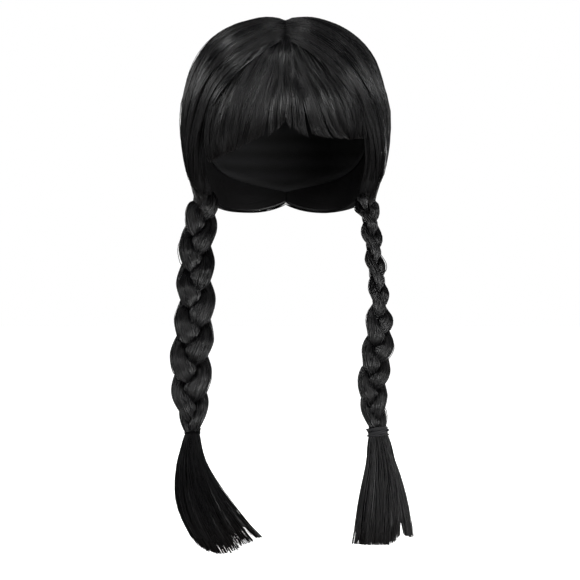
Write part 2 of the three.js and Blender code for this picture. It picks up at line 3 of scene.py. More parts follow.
import bpy
import numpy as np
from bpy.props import FloatProperty, FloatVectorProperty, IntProperty, PointerProperty
from bpy.types import Operator, Panel, PropertyGroup
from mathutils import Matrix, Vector


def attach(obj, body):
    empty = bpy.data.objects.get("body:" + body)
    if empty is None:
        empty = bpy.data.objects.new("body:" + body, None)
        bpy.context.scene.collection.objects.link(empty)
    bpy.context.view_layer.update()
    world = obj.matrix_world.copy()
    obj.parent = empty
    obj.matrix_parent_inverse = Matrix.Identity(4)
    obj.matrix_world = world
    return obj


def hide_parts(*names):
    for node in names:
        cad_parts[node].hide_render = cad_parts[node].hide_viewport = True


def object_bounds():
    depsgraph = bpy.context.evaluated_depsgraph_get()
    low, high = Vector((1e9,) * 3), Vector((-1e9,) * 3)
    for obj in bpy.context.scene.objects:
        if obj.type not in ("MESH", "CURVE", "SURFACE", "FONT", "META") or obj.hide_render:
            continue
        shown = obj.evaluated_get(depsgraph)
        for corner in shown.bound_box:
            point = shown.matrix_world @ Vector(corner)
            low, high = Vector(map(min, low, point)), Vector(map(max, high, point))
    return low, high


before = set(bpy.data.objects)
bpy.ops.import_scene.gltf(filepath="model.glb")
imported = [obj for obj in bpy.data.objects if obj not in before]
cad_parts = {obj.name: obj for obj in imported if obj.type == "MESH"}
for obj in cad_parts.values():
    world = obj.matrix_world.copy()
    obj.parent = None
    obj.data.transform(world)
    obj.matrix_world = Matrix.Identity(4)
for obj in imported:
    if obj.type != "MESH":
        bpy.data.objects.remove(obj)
CAD_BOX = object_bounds()

bl_info = {
    "name": "Pigtail wig",
    "version": (1, 0, 0),
    "blender": (4, 5, 0),
    "location": "3D View > Sidebar > Wig",
    "description": "Builds a wig of straight black hair with a fringe and two plaited pigtails",
    "category": "Object",
}

# Sizes in millimetres, as in the CAD model: +Z up, the face looks along -Y, left is -X, and the
# origin is the inside of the cap on top of the head.

# The head that the wig fits
HEAD_HALF_WIDTH = 75
HEAD_FRONT = 89
HEAD_BACK = 100
HEAD_HEIGHT = 75
HEAD_LOWER_DEPTH = 150
HEAD_POWER = 2.3
HEAD_CENTRE = np.array([0.0, 0.0, -HEAD_HEIGHT])

# Walls, clearances and the hair's depth outside the cap
CAP_WALL = 1.6
CAP_CLEARANCE = 1.1
LOCK_CLEARANCE = 0.4
CLEARANCE = 0.35
MIDDLE_LAP = 0.15  # how far each half's mass of hair crosses the parting
SHEET_INSET = 0.008  # share of a crown that is left free at each edge of its mass of hair
HAIR_SIDE = 15.5
HAIR_FRONT = 12
HAIR_BACK = 13
HAIR_TOP = 14.5

# The parting and the bundles behind the ears
PARTING_FRONT_ANGLE = -44
PARTING_NAPE_ANGLE = 134
PARTING_VALLEY = 0.24
PARTING_BANK = 0.12
LOCKS_PER_HALF = 8
LOCK_GROOVE = 0.17
NAPE_LIFT = 0.55
TEMPLE_BOW = 0.12
BUNDLE_Y = 2
BUNDLE_Z = -143.5
BUNDLE_HALF_LENGTH = 8.5
BUNDLE_TILT = 20

# The fringe. FRINGE_BACKING is how far down its mass of hair goes, as a share of its length, and
# FRINGE_CROSS how far its strands go past the middle, as a share of its width.
FRINGE_ROOT = 0.12
FRINGE_SIDE = 0.68
FRINGE_LOCKS = 6
FRINGE_TIPS = 13
FRINGE_BACKING = 0.8
FRINGE_CROSS = 0.14

# The plaits. PLAIT_STEPS is how many steps the CAD model has down one.
PLAIT_SWING = 0.45
PLAIT_WEAVE = 0.42
PLAIT_ROUND = 0.62
PLAIT_STEPS = 48
PLAIT_TOP = -0.02  # where the locks start, as a share of the way down
PLAIT_CORNER = 0.12  # how softly a lock's round side meets its flat ones

# How thick the crown's edge is, as a share of its length from the front edge to the nape
CROWN_RIM = 0.055

# How far the crown's front edge reaches over the fringe: shares of that length and of the hair
FRINGE_LAP = 0.035
FRINGE_COVER = 0.14

# The small locks that the strands lie in, and how far they rise and fall
CROWN_LOCKS = 42
CROWN_RELIEF = 1.5
FRINGE_RELIEF = 1.6
SWATHS = 9
SWATH_RELIEF = 3.4

# The tassels: how flat they are, and where they start below the tie, as a share of their length
TASSEL_FLATNESS = 0.6
TASSEL_NECK = 0.01
CORE_SIZE = 0.72  # of the solid inside each lock of a tassel, as a share of the lock
BACK_LOCK = 6  # number of the lock behind the others

# The strands: sides of one, points along one, how many side by side share a streak of about the
# same shine, the share of them that stand off, and how glossy the ones of the plaits are
STRAND_SIDES = 3
STRAND_POINTS = {"crown": 18, "fringe": 15, "plait": 16, "tassel": 14}
STREAK = 22
STRAY_SHARE = 0.03
PLAIT_SHINE = 0.52

# The shares of the crown's strands that start below the parting, of the fringe's that start at its
# root, and of the tassel's that are in its back lock
CROWN_LATE = 0.28
FRINGE_WHOLE = 0.8
TASSEL_BEHIND = 0.15

# Steps each way over the solid pieces, and what each part adds to the seed
GRIDS = {"cap": (96, 28), "crown": (128, 40), "fringe": (72, 30), "plait": (121, 18), "core": (12, 10)}
SEED_STEPS = {"crown": 0, "fringe": 10, "plait": 20, "tassel": 30}
TIE_STEPS = 26  # in one winding
TIE_SIDES = 8

CAP_EDGE = {"turn": (0, 45, 75, 100, 135, 180), "reach": (50, 58, 78, 98, 117, 127)}
HEAD_SECTIONS = {
    "drop": (0, 0.15, 0.3, 0.45, 0.6, 1),
    "side": (1, 0.985, 0.93, 0.82, 0.74, 0.7),
    "front": (1, 0.99, 0.97, 0.94, 0.9, 0.85),
    "back": (1, 0.97, 0.88, 0.74, 0.64, 0.6),
}
CROWN_DEPTHS = {"along": (0, 0.6, 0.85, 1), "depth": (1, 1, 1.04, 1.24)}
FRINGE_DEPTHS = {"along": (0, 0.3, 0.75, 1), "depth": (0.72, 0.8, 0.55, 0.26)}
LEFT_HEM = {
    "across": (0, 0.12, 0.25, 0.5, 0.75, 1),
    "turn": (0.5, 5, 10, 24, 38, 53),
    "drop": (0.08, 0.18, 0.27, 0.38, 0.47, 0.54),
}
RIGHT_HEM = {
    "across": (0, 0.12, 0.25, 0.5, 0.75, 1),
    "turn": (0.5, 4, 9, 22, 36, 51),
    "drop": (0.08, 0.16, 0.22, 0.28, 0.29, 0.27),
}

# The two sides. In route, down, out and forward are shares of drop, half_width and forward, and
# fullness is a share of the half width and depth. In tassel, across and forward are shares of
# tassel_reach, down is one of tassel_length, and the last lock lies behind the others. sweep is how
# far the fringe's tips swing to the temple. The tassel's tips are pulled to the places in prongs, and
# tassel_cut is how ragged they are.
LEFT = {
    "word": "left",
    "side": -1,
    "hem": LEFT_HEM,
    "sweep": 0.4,
    "drop": 208,
    "forward": 77,
    "half_width": 17.2,
    "half_depth": 10.6,
    "turns": 2.15,
    "phase": 226,
    "route": {
        "down": (0, 0.03, 0.08, 0.19, 0.31, 0.5, 0.67, 0.83, 0.93, 1),
        "out": (0, 0.01, 0.2, 0.41, 0.45, 0.45, 0.6, 0.6, 0.55, 0.52),
        "forward": (0, 0.03, 0.08, 0.18, 0.34, 0.6, 0.81, 0.93, 0.98, 1),
        "fullness": (0.58, 0.7, 0.82, 0.86, 0.9, 0.96, 1, 0.92, 0.66, 0.32),
        "roll": (0, 0, 0, 0, 0, 0, 0, 0, 0, 0),
    },
    "tassel_length": 104,
    "tassel_reach": 62,
    "tassel": {
        "lock": (0, 1, 2, 3, 4, 5, 6),
        "mid_across": (-0.17, -0.11, -0.02, 0.09, 0.2, 0.28, 0.02),
        "mid_forward": (0, 0.07, 0.09, 0.09, 0.06, 0.01, -0.04),
        "mid_down": (0.47, 0.5, 0.5, 0.48, 0.44, 0.42, 0.48),
        "tip_across": (0.06, 0.2, 0.35, 0.51, 0.68, 0.88, 0.42),
        "tip_forward": (0.02, 0.07, 0.1, 0.11, 0.09, 0.06, -0.03),
        "tip_down": (0.9, 0.97, 1, 0.99, 0.94, 0.88, 0.94),
        "half": (0.11, 0.13, 0.135, 0.135, 0.125, 0.1, 0.19),
    },
    "tassel_cut": 0.1,
    "prongs": (3.3, 4.5, 5.35),
    "prong_pull": (0.05, 0.3, 0.5),
    "tassel_shine": 0.04,
    # The tie's last entry darkens its elastic's colour and gloss, a painted shade for the tie in its
    # plait's shadow
    "tie": {"windings": 3, "wire": 0.45, "spread": 1.3, "slack": 0.15, "shade": 0.2},
}
RIGHT = {
    "word": "right",
    "side": 1,
    "hem": RIGHT_HEM,
    "sweep": 0.6,
    "drop": 207,
    "forward": 77,
    "half_width": 12.9,
    "half_depth": 8,
    "turns": 2.8,
    "phase": 190,
    "route": {
        "down": (0, 0.03, 0.08, 0.19, 0.31, 0.45, 0.6, 0.83, 0.94, 1),
        "out": (0, 0.01, 0.24, 0.46, 0.67, 0.86, 0.8, 0.32, 0.52, 0.66),
        "forward": (0, 0.03, 0.08, 0.18, 0.34, 0.54, 0.74, 0.94, 0.98, 1),
        "fullness": (0.74, 0.85, 0.9, 0.87, 0.84, 0.86, 1, 0.94, 0.72, 0.5),
        "roll": (20, 34, 58, 66, 68, 58, 22, 0, 0, 0),
    },
    "tassel_length": 97,
    "tassel_reach": 30,
    "tassel": {
        "lock": (0, 1, 2, 3, 4, 5, 6),
        "mid_across": (-0.3, -0.12, 0.08, 0.28, 0.46, 0.58, 0.1),
        "mid_forward": (0, 0.13, 0.17, 0.15, 0.08, 0, -0.14),
        "mid_down": (0.5, 0.5, 0.5, 0.49, 0.46, 0.43, 0.48),
        "tip_across": (-0.6, -0.34, 0, 0.32, 0.64, 0.92, 0.06),
        "tip_forward": (0, 0.18, 0.22, 0.2, 0.12, 0.04, -0.12),
        "tip_down": (1, 1, 1, 1, 0.9, 0.93, 0.98),
        "half": (0.22, 0.25, 0.27, 0.25, 0.22, 0.18, 0.36),
    },
    "tassel_cut": 0.035,
    "prongs": (3.2, 5.1),
    "prong_pull": (0.4, 0.4),
    "tassel_shine": 0.23,
    # The tie's last entry makes its elastic's colour and gloss lighter, a painted lit copy of the same
    # elastic
    "tie": {"windings": 9, "wire": 0.7, "spread": 6.4, "slack": 0.8, "shade": 2},
}
HALVES = (LEFT, RIGHT)

# The stage, in metres
FLOOR_RADIUS = 14
FLOOR_GLOW = 0.6
CAMERA_LENS = 151.7  # in millimetres, as the sensor
CAMERA_SENSOR = 36
CAMERA_PLACE = (0.00405, -2.2, -0.228)

# The lights: kind, side, place in metres, size (an angle in degrees for a sun), and power
AMBIENT = 0.07
LIGHTS = (
    ("SUN", "top", (0.3, 0.4, 3.0), 50, 1.8),
    ("AREA", "upper left", (-1.0, -0.9, 1.6), 0.5, 13),
    ("AREA", "upper right", (1.0, -0.9, 1.5), 0.5, 9),
    ("AREA", "low front", (0.9, -1.5, -0.42), 0.8, 26),
    ("AREA", "left side", (-1.5, -1.3, 0.0), 0.6, 12),
    ("AREA", "right side", (1.5, -1.3, 0.0), 0.6, 8),
    ("AREA", "far left", (-1.9, -0.2, 0.3), 0.7, 12),
    ("AREA", "far right", (1.9, -0.2, 0.3), 0.7, 11),
    ("AREA", "left bounce", (-1.0, -0.8, -1.4), 0.8, 5),
    ("AREA", "right bounce", (1.0, -0.8, -1.4), 0.8, 5),
    ("AREA", "back left", (-0.6, 1.7, -0.1), 0.7, 9),
    ("AREA", "back right", (0.6, 1.7, -0.1), 0.7, 7),
)

COLOUR_LIMITS = {"size": 3, "min": 0, "max": 1}


class WigSettings(PropertyGroup):
    strand_thickness: FloatProperty(
        name="Strand thickness",
        description="Half width of a usual strand of hair",
        default=0.00034,
        min=0.00005,
        max=0.001,
        precision=5,
        subtype="DISTANCE",
        unit="LENGTH",
    )
    crown_strands: IntProperty(
        name="Strands in half a crown",
        description="Strands of hair combed from one side of the parting",
        default=1450,
        min=10,
    )
    fringe_strands: IntProperty(
        name="Strands in half a fringe",
        description="Strands of hair in one half of the fringe",
        default=900,
        min=10,
    )
    plait_strands: IntProperty(
        name="Strands in a plait's lock",
        description="Strands of hair on each of a plait's three locks",
        default=330,
        min=10,
    )
    tassel_strands: IntProperty(
        name="Strands in a tassel",
        description="Strands of hair below one tie",
        default=900,
        min=10,
    )
    seed: IntProperty(
        name="Seed",
        description="Number that the random places of the strands start from",
        default=7,
    )
    hair_colour: FloatVectorProperty(
        name="Hair colour",
        description="Colour of the hair",
        default=(0.0042, 0.0042, 0.0046),
        subtype="COLOR",
        **COLOUR_LIMITS,
    )
    # Colour of the backing's streaks, and the colour the strands' thin ends are painted towards, a
    # painted glow of light through them
    streak_and_tip_glow_colour: FloatVectorProperty(
        name="Tip colour",
        description="Colour of the thin ends of the hair",
        default=(0.007, 0.0055, 0.005),
        subtype="COLOR",
        **COLOUR_LIMITS,
    )
    net_colour: FloatVectorProperty(
        name="Net colour",
        description="Colour of the cap",
        default=(0.012, 0.012, 0.013),
        subtype="COLOR",
        **COLOUR_LIMITS,
    )
    elastic_colour: FloatVectorProperty(
        name="Elastic colour",
        description="Colour of the ties",
        default=(0.012, 0.012, 0.013),
        subtype="COLOR",
        **COLOUR_LIMITS,
    )
    floor_colour: FloatVectorProperty(
        name="Floor colour",
        description="Colour of the floor and of the light all round",
        default=(0.95, 0.95, 0.95),
        subtype="COLOR",
        **COLOUR_LIMITS,
    )
    floor_gap: FloatProperty(
        name="Floor gap",
        description="Space between the lowest hair and the floor",
        default=0.018,
        min=0,
        subtype="DISTANCE",
        unit="LENGTH",
    )


def lerp(start, end, share):
    return start + (end - start) * share


def smoothstep(value, low, high):
    share = np.clip((value - low) / (high - low), 0, 1)
    return share * share * (3 - 2 * share)


def same_shape(*values):
    """Numbers and arrays of them as arrays of one shape."""
    return np.broadcast_arrays(*(np.asarray(value, float) for value in values))


def unit(vectors):
    return vectors / np.linalg.norm(vectors, axis=-1, keepdims=True)


def read_table(table, key, column, at):
    """One column of a table at places between its rows, on a smooth curve through them."""
    keys = np.array(table[key], float)
    values = np.array(table[column], float)
    number = np.arange(len(keys))
    before = np.maximum(number - 1, 0)
    after = np.minimum(number + 1, len(keys) - 1)
    slope = (values[after] - values[before]) / (keys[after] - keys[before])
    i = np.clip(np.searchsorted(keys, at) - 1, 0, len(keys) - 2)
    step = keys[i + 1] - keys[i]
    rise = values[i + 1] - values[i]
    share = np.clip((at - keys[i]) / step, 0, 1)
    bend = (1 - share) * (slope[i] * step - rise) - share * (slope[i + 1] * step - rise)
    return values[i] + rise * share + share * (1 - share) * bend


def between(start, end, share):
    """The directions between two others, on the shortest way round."""
    angle = np.arccos(np.clip((unit(start) * unit(end)).sum(-1), -1, 1))
    first = np.sin((1 - share) * angle) / np.sin(angle)
    last = np.sin(share * angle) / np.sin(angle)
    return first[..., None] * start + last[..., None] * end


def heading(side, turn, height):
    """A direction from the middle of the head, from a turn away from the front and a height."""
    turn = np.radians(turn)
    rise = height - HEAD_CENTRE[2]
    dip = np.where(rise > 0, np.arctan(rise / HEAD_FRONT), rise / HEAD_LOWER_DEPTH * math.pi / 2)
    flat = np.cos(dip)
    return np.stack([side * np.sin(turn) * flat, -np.cos(turn) * flat, np.sin(dip)], -1)


def rounded_radius(*parts):
    """How far from the middle a direction leaves a rounded section of given half axes."""
    total = sum(np.abs(share / axis) ** HEAD_POWER for share, axis in parts)
    return total ** (-1 / HEAD_POWER)


def shell_point(direction, side, front, back, top):
    """The point in one direction of a shell round the head that stands off on each side."""
    x, y, z = np.moveaxis(direction, -1, 0)
    ahead = y < 0
    reach = np.where(ahead, HEAD_FRONT, HEAD_BACK)
    stand = np.where(ahead, front, back)
    upper = rounded_radius(
        (x, HEAD_HALF_WIDTH + side), (y, reach + stand), (np.maximum(z, 0), HEAD_HEIGHT + top)
    )
    dip = np.arcsin(np.clip(-z, 0, 1)) / (math.pi / 2)
    flat = np.maximum(np.hypot(x, y), 1e-9)
    share = np.where(
        ahead,
        read_table(HEAD_SECTIONS, "drop", "front", dip),
        read_table(HEAD_SECTIONS, "drop", "back", dip),
    )
    lower = rounded_radius(
        (x / flat, HEAD_HALF_WIDTH * read_table(HEAD_SECTIONS, "drop", "side", dip) + side),
        (y / flat, reach * share + stand),
    )
    point = np.where(
        (z >= 0)[..., None],
        direction * upper[..., None],
        np.stack([x / flat * lower, y / flat * lower, -dip * HEAD_LOWER_DEPTH], -1),
    )
    return point + HEAD_CENTRE


def hair_point(direction, depth, stand=0.0):
    """The point in one direction inside the hair: depth 0 is next to the cap, 1 its surface."""
    base = CAP_WALL + CAP_CLEARANCE + stand
    depths = (HAIR_SIDE, HAIR_FRONT, HAIR_BACK, HAIR_TOP)
    return shell_point(direction, *(base + depth * whole for whole in depths))


def groove(across, locks):
    """How deep the groove is beside a lock: 0 on its ridge, 1 at its edge."""
    return 1 - np.abs(np.sin(math.pi * across * locks)) ** 0.7


def crown_direction(side, across, along):
    """The direction of a lock of the crown, from the front edge to the nape and down to the ear."""
    across, along = same_shape(across, along)
    angle = np.radians(lerp(PARTING_FRONT_ANGLE, PARTING_NAPE_ANGLE, across))
    root = np.stack([0 * angle, np.sin(angle), np.cos(angle)], -1)
    tilt = math.radians(BUNDLE_TILT)
    offset = lerp(-BUNDLE_HALF_LENGTH, BUNDLE_HALF_LENGTH, across)
    y = BUNDLE_Y + offset * math.cos(tilt)
    z = BUNDLE_Z - offset * math.sin(tilt)
    end = heading(side, 90 + np.degrees(np.arctan2(y, HEAD_HALF_WIDTH)), z)
    lift = NAPE_LIFT * across * along**2 * (1 - along)
    bow = TEMPLE_BOW * (1 - across) ** 3 * along * (1 - along)
    shift = np.stack([0 * lift, 0.4 * lift - bow, 0.9 * lift], -1)
    return unit(between(root, end, along) + shift)


def crown_depth(across, along):
    """The hair's depth in the crown, with its parting, locks and thinner edges."""
    bank = smoothstep(along, 0, PARTING_BANK)
    lock = 1 - LOCK_GROOVE * groove(across, LOCKS_PER_HALF) * bank
    rim = smoothstep(np.minimum(across, 1 - across), 0, 0.5 / LOCKS_PER_HALF)
    edge = lerp(0.7 + 0.3 * rim, 1, along**6)
    depth = read_table(CROWN_DEPTHS, "along", "depth", along)
    return depth * (1 - PARTING_VALLEY * (1 - bank)) * lock * edge


def fringe_direction(side, hem, across, along):
    """The direction of a lock of the fringe, from the middle to the temple and root to tip."""
    across, along = same_shape(across, along)
    forward = unit(np.cross(crown_direction(side, 0, 0), crown_direction(side, 0, 1)))
    forward = forward * np.sign(-forward[1]) * 2.2 * CLEARANCE / HEAD_FRONT

    def seam(share):
        return unit(crown_direction(side, 0, share) + forward)

    def hem_at(share):
        drop = read_table(hem, "across", "drop", share) * HEAD_HEIGHT
        return heading(side, read_table(hem, "across", "turn", share), HEAD_CENTRE[2] - drop)

    def fan(share):
        middle = between(seam(0.0) * (0, 1, 1), hem_at(0.0), share)
        resting = seam(lerp(FRINGE_ROOT, FRINGE_SIDE, share))
        edge = between(resting, hem_at(1.0), smoothstep(share, 0.45, 1))
        return between(middle, edge, across)

    pull = hem_at(across) - fan(np.ones_like(along))
    return unit(fan(along) + pull * (along**2)[..., None])


def crown_place(half, across, along, stand=0.0):
    """A place on one half of the crown. Past 0 and 1, across goes on over its front and nape edges."""
    across, along = same_shape(across, along)
    inside = np.clip(across, 0, 1)
    over = np.clip(np.abs(across - inside) / CROWN_RIM, 0, 1)
    beside = 1 - smoothstep(along, 0.42, 0.7)
    ahead = beside * (across < 0)
    fringe_share = (along - FRINGE_ROOT) / (FRINGE_SIDE - FRINGE_ROOT)
    fringe = read_table(FRINGE_DEPTHS, "along", "depth", fringe_share)
    depth = crown_depth(inside, along)
    above = np.maximum(fringe + FRINGE_COVER - depth, 0) * beside
    depth = depth + above * (1 - smoothstep(across, 0, 0.1))
    depth = lerp(depth, ahead * (fringe + 0.8 * FRINGE_COVER), over)
    direction = crown_direction(half["side"], inside - FRINGE_LAP * ahead * over, along)
    point = hair_point(direction, depth, stand * (1 - over * (1 - ahead)))
    point[..., 1] -= np.maximum(stand, 0) * over * (across < 0) * (1 - beside)
    return point


def fringe_place(half, across, along, stand=0.0):
    """A place on one half of the fringe, at a height above its surface."""
    lock = 1 - 1.4 * LOCK_GROOVE * groove(across, FRINGE_LOCKS) * along
    depth = read_table(FRINGE_DEPTHS, "along", "depth", along) * lock
    return hair_point(fringe_direction(half["side"], half["hem"], across, along), depth, stand)


def plait_place(half, down):
    """A plait's middle at shares of the way down, from its upper end."""
    route = half["route"]
    out = read_table(route, "down", "out", down) * half["half_width"] * half["side"]
    forward = read_table(route, "down", "forward", down) * half["forward"]
    return np.stack([out, -forward, -down * half["drop"]], -1)


def plait_start(half):
    """Where a plait begins: just below the middle of the bundle behind the ear."""
    direction = crown_direction(half["side"], 0.5, 1.0)
    inner = hair_point(direction, 0.0)
    outer = hair_point(direction, crown_depth(0.5, 1.0))
    return (inner + outer) / 2 + unit(plait_place(half, 0.01)) * 2 * CLEARANCE


def plait_frame(half, down):
    """A plait's middle, its way down, its flat face's width and depth ways, and its fullness."""
    ahead = np.clip(down + 0.005, 0.01, 1)
    tangent = unit(plait_place(half, ahead) - plait_place(half, ahead - 0.01))
    front = np.array([0.0, -1.0, 0.0])
    deep = unit(front - (tangent @ front)[..., None] * tangent)
    roll = -half["side"] * np.radians(read_table(half["route"], "down", "roll", down))[..., None]
    deep = deep * np.cos(roll) + np.cross(tangent, deep) * np.sin(roll)
    wide = unit(np.cross(deep, tangent))
    above = tangent * (np.minimum(down, 0) * half["drop"])[..., None]
    middle = plait_place(half, np.maximum(down, 0)) + above + plait_start(half)
    return middle, tangent, wide, deep, read_table(half["route"], "down", "fullness", down)


def plait_end(half):
    """A plait's middle and its three directions at the tie."""
    return [part[0] for part in plait_frame(half, np.array([1.0]))[:4]]


def lock_centre(turn, number):
    """The middle of one of a plait's three locks, as shares of the plait's half width and depth."""
    phase = turn + 2 * math.pi * number / 3
    return np.stack([PLAIT_SWING * np.sin(phase), PLAIT_WEAVE * np.sin(2 * phase)], -1)


def soft_least(first, second, soft):
    """The smaller of two numbers, with the corner between them rounded off."""
    near = np.clip(1 - np.abs(first - second) / soft, 0, 1)
    return np.minimum(first, second) - 0.25 * soft * near**2


def lock_point(half, number, down, angle, stand=0.0):
    """A point on one of a plait's locks, at an angle round it and a height above its surface."""
    down, angle = same_shape(down, angle)
    middle, _, wide, deep, fullness = plait_frame(half, down)
    width = half["half_width"] * fullness
    depth = half["half_depth"] * fullness
    turn = np.radians(half["phase"] + 360 * half["turns"] * down)
    step = math.radians(360 * half["turns"] / PLAIT_STEPS)
    centre = lock_centre(turn, number)
    out = np.stack([np.cos(angle), np.sin(angle)], -1)
    radius = np.full(down.shape, PLAIT_ROUND)
    for other in (number + 1, number + 2):
        for near in (-0.5, 0, 0.5):
            own = lock_centre(turn + near * step, number)
            apart = lock_centre(turn + near * step, other) - own
            half_gap = np.linalg.norm(apart, axis=-1) / 2
            apart = unit(apart)
            reach = half_gap - LOCK_CLEARANCE / 2 / depth - ((centre - own) * apart).sum(-1)
            facing = (out * apart).sum(-1)
            cut = reach / np.maximum(facing, 1e-3)
            radius = np.where(facing > 1e-3, soft_least(radius, cut, PLAIT_CORNER), radius)
    across = (centre[..., 0] + radius * out[..., 0]) * width + stand * out[..., 0]
    up = (centre[..., 1] + radius * out[..., 1]) * depth + stand * out[..., 1]
    return middle + wide * across[..., None] - deep * up[..., None]


def lock_top(down):
    """How near a place on a plait's lock is to its upper end, which tapers into the bundle."""
    return 1 - smoothstep(down, PLAIT_TOP, 0.025)


def tied_hair(half):
    """The half axes of the hair inside a tie."""
    fullness = half["route"]["fullness"][-1]
    return 1.15 * fullness * half["half_width"], 1.18 * fullness * half["half_depth"]


class Socket:
    """A number on a shader's way, so that sums of such numbers can be written as sums."""

    def __init__(self, tree, link):
        self.tree = tree
        self.link = link

    def sum(self, operation, first, second):
        return self.tree.node("ShaderNodeMath", {"operation": operation}, [first, second])

    def __add__(self, other):
        return self.sum("ADD", self, other)

    def __mul__(self, other):
        return self.sum("MULTIPLY", self, other)

    def __sub__(self, other):
        return self.sum("SUBTRACT", self, other)

    def __rsub__(self, other):
        return self.sum("SUBTRACT", other, self)

    def __pow__(self, other):
        return self.sum("POWER", self, other)

    __radd__ = __add__
    __rmul__ = __mul__


class Finish:
    """A material with one Principled shader. node adds any other node to it."""

    def __init__(self, name, roughness=0.4, specular=0.4, colour=(0, 0, 0)):
        self.material = bpy.data.materials.new(name)
        self.material.use_nodes = True
        self.nodes = self.material.node_tree.nodes
        self.links = self.material.node_tree.links
        self.shader = self.nodes["Principled BSDF"]
        self.shader.inputs["Roughness"].default_value = roughness
        self.shader.inputs["Specular IOR Level"].default_value = specular
        self.shader.inputs["Base Color"].default_value = (*colour, 1)

    def node(self, kind, settings=None, values=(), output=0):
        """A node's output. values goes to its sockets by place, or by name where it is a dict."""
        made = self.nodes.new(kind)
        for key, value in (settings or {}).items():
            setattr(made, key, value)
        pairs = values.items() if isinstance(values, dict) else enumerate(values)
        for key, value in pairs:
            self.feed(made.inputs[key], value)
        return Socket(self, made.outputs[output])

    def feed(self, socket, value):
        if isinstance(value, Socket):
            self.links.new(value.link, socket)
        else:
            socket.default_value = value

    def set(self, name, value):
        self.feed(self.shader.inputs[name], value)

    def mix(self, share, first, second):
        """A colour between two, at a varying share."""
        values = {0: share, 6: (*first, 1), 7: (*second, 1)}
        return self.node("ShaderNodeMix", {"data_type": "RGBA"}, values, output=2)

    def bump(self, height, distance, strength=1.0):
        """Makes the surface rise and fall by a varying height."""
        values = {"Strength": strength, "Distance": distance, "Height": height}
        self.set("Normal", self.node("ShaderNodeBump", None, values))

    def hair_map(self):
        """Where a point is across the hair and along it, from the piece's own map."""
        place = self.node("ShaderNodeUVMap", {"uv_map": "OFBake"})
        across = self.node("ShaderNodeSeparateXYZ", None, [place])
        return place, across, Socket(self, across.link.node.outputs[1])


def settings():
    return bpy.context.scene.wig_settings


def strand_finish(name="Black strands", specular=0.36):
    """Glossy black strands. Each has its own shine, and their thin ends are painted a little lighter, a
    painted glow of light through them.
    """
    if name in bpy.data.materials:
        return bpy.data.materials[name]
    look = Finish(name, specular=specular)
    _, tint, along = look.hair_map()
    # along**9 paints the thin ends lighter and browner, a painted glow of light through them; tint adds
    # each strand's own tone
    tip_glow_and_tint = along**9 * 0.6 + tint * 0.12
    look.set("Base Color", look.mix(tip_glow_and_tint, settings().hair_colour, settings().streak_and_tip_glow_colour))
    look.set("Roughness", tint * 0.4 + 0.12)
    return look.material


def backing_finish():
    """The mass of hair below the strands: black, with streaks that run along it."""
    name = "Black hair"
    if name in bpy.data.materials:
        return bpy.data.materials[name]
    look = Finish(name, specular=0.35)
    place, _, _ = look.hair_map()
    stretched = look.node(
        "ShaderNodeVectorMath", {"operation": "MULTIPLY"}, [place, (1.0, 0.03, 1.0)]
    )
    streaks = look.node(
        "ShaderNodeTexNoise",
        {"noise_dimensions": "2D"},
        {"Vector": stretched, "Scale": 170, "Detail": 3},
    )
    look.set("Base Color", look.mix(streaks * 0.3, settings().hair_colour, settings().streak_and_tip_glow_colour))
    look.set("Roughness", streaks * 0.3 + 0.32)
    look.bump(streaks, 0.0004, 0.5)
    return look.material


def net_finish():
    """The cap's stretchy net, with the sewn rows of hair showing as ribs round it."""
    look = Finish("Cap net", specular=0.2)
    place = look.node("ShaderNodeTexCoord", output=3)
    rows = look.node(
        "ShaderNodeTexWave",
        {"bands_direction": "Z"},
        {"Vector": place, "Scale": 22, "Distortion": 0.2, "Detail": 1},
        output=1,
    )
    mesh = look.node("ShaderNodeTexVoronoi", None, {"Vector": place, "Scale": 900})
    gap_colour = (0.004, 0.004, 0.004)
    look.set("Base Color", look.mix(rows * 0.5 + mesh * 0.3, gap_colour, settings().net_colour))
    look.set("Roughness", mesh * 0.15 + 0.75)
    look.bump(rows * 0.8 + mesh * 0.3, 0.0006)
    return look.material


def elastic_finish(name, shade):
    """Covered elastic: a dark matt thread with a fine rough surface. Its colour and gloss are scaled
    for each tie: painted darker on the left tie as painted shade under its plait, and lighter on the
    right one as a lit copy.
    """
    colour = np.array(settings().elastic_colour) * shade
    look = Finish(name, specular=0.1 * shade)
    place = look.node("ShaderNodeTexCoord", output=3)
    threads = look.node("ShaderNodeTexNoise", None, {"Vector": place, "Scale": 1500, "Detail": 2})
    look.set("Base Color", look.mix(threads, 0.4 * colour, colour))
    look.set("Roughness", threads * 0.3 + 0.5)
    look.bump(threads, 0.0003)
    return look.material


def studio_world(colour):
    """A white backdrop, with a dimmer light from all round than its brightness would give."""
    world = bpy.data.worlds.new("Studio light")
    world.use_nodes = True
    nodes, links = world.node_tree.nodes, world.node_tree.links
    ambient = nodes["Background"]
    ambient.inputs["Color"].default_value = (*colour, 1)
    ambient.inputs["Strength"].default_value = AMBIENT
    backdrop = nodes.new("ShaderNodeBackground")
    backdrop.inputs["Color"].default_value = (1, 1, 1, 1)
    seen = nodes.new("ShaderNodeLightPath")
    mixed = nodes.new("ShaderNodeMixShader")
    links.new(seen.outputs["Is Camera Ray"], mixed.inputs[0])
    links.new(ambient.outputs[0], mixed.inputs[1])
    links.new(backdrop.outputs[0], mixed.inputs[2])
    links.new(mixed.outputs[0], nodes["World Output"].inputs["Surface"])
    return world


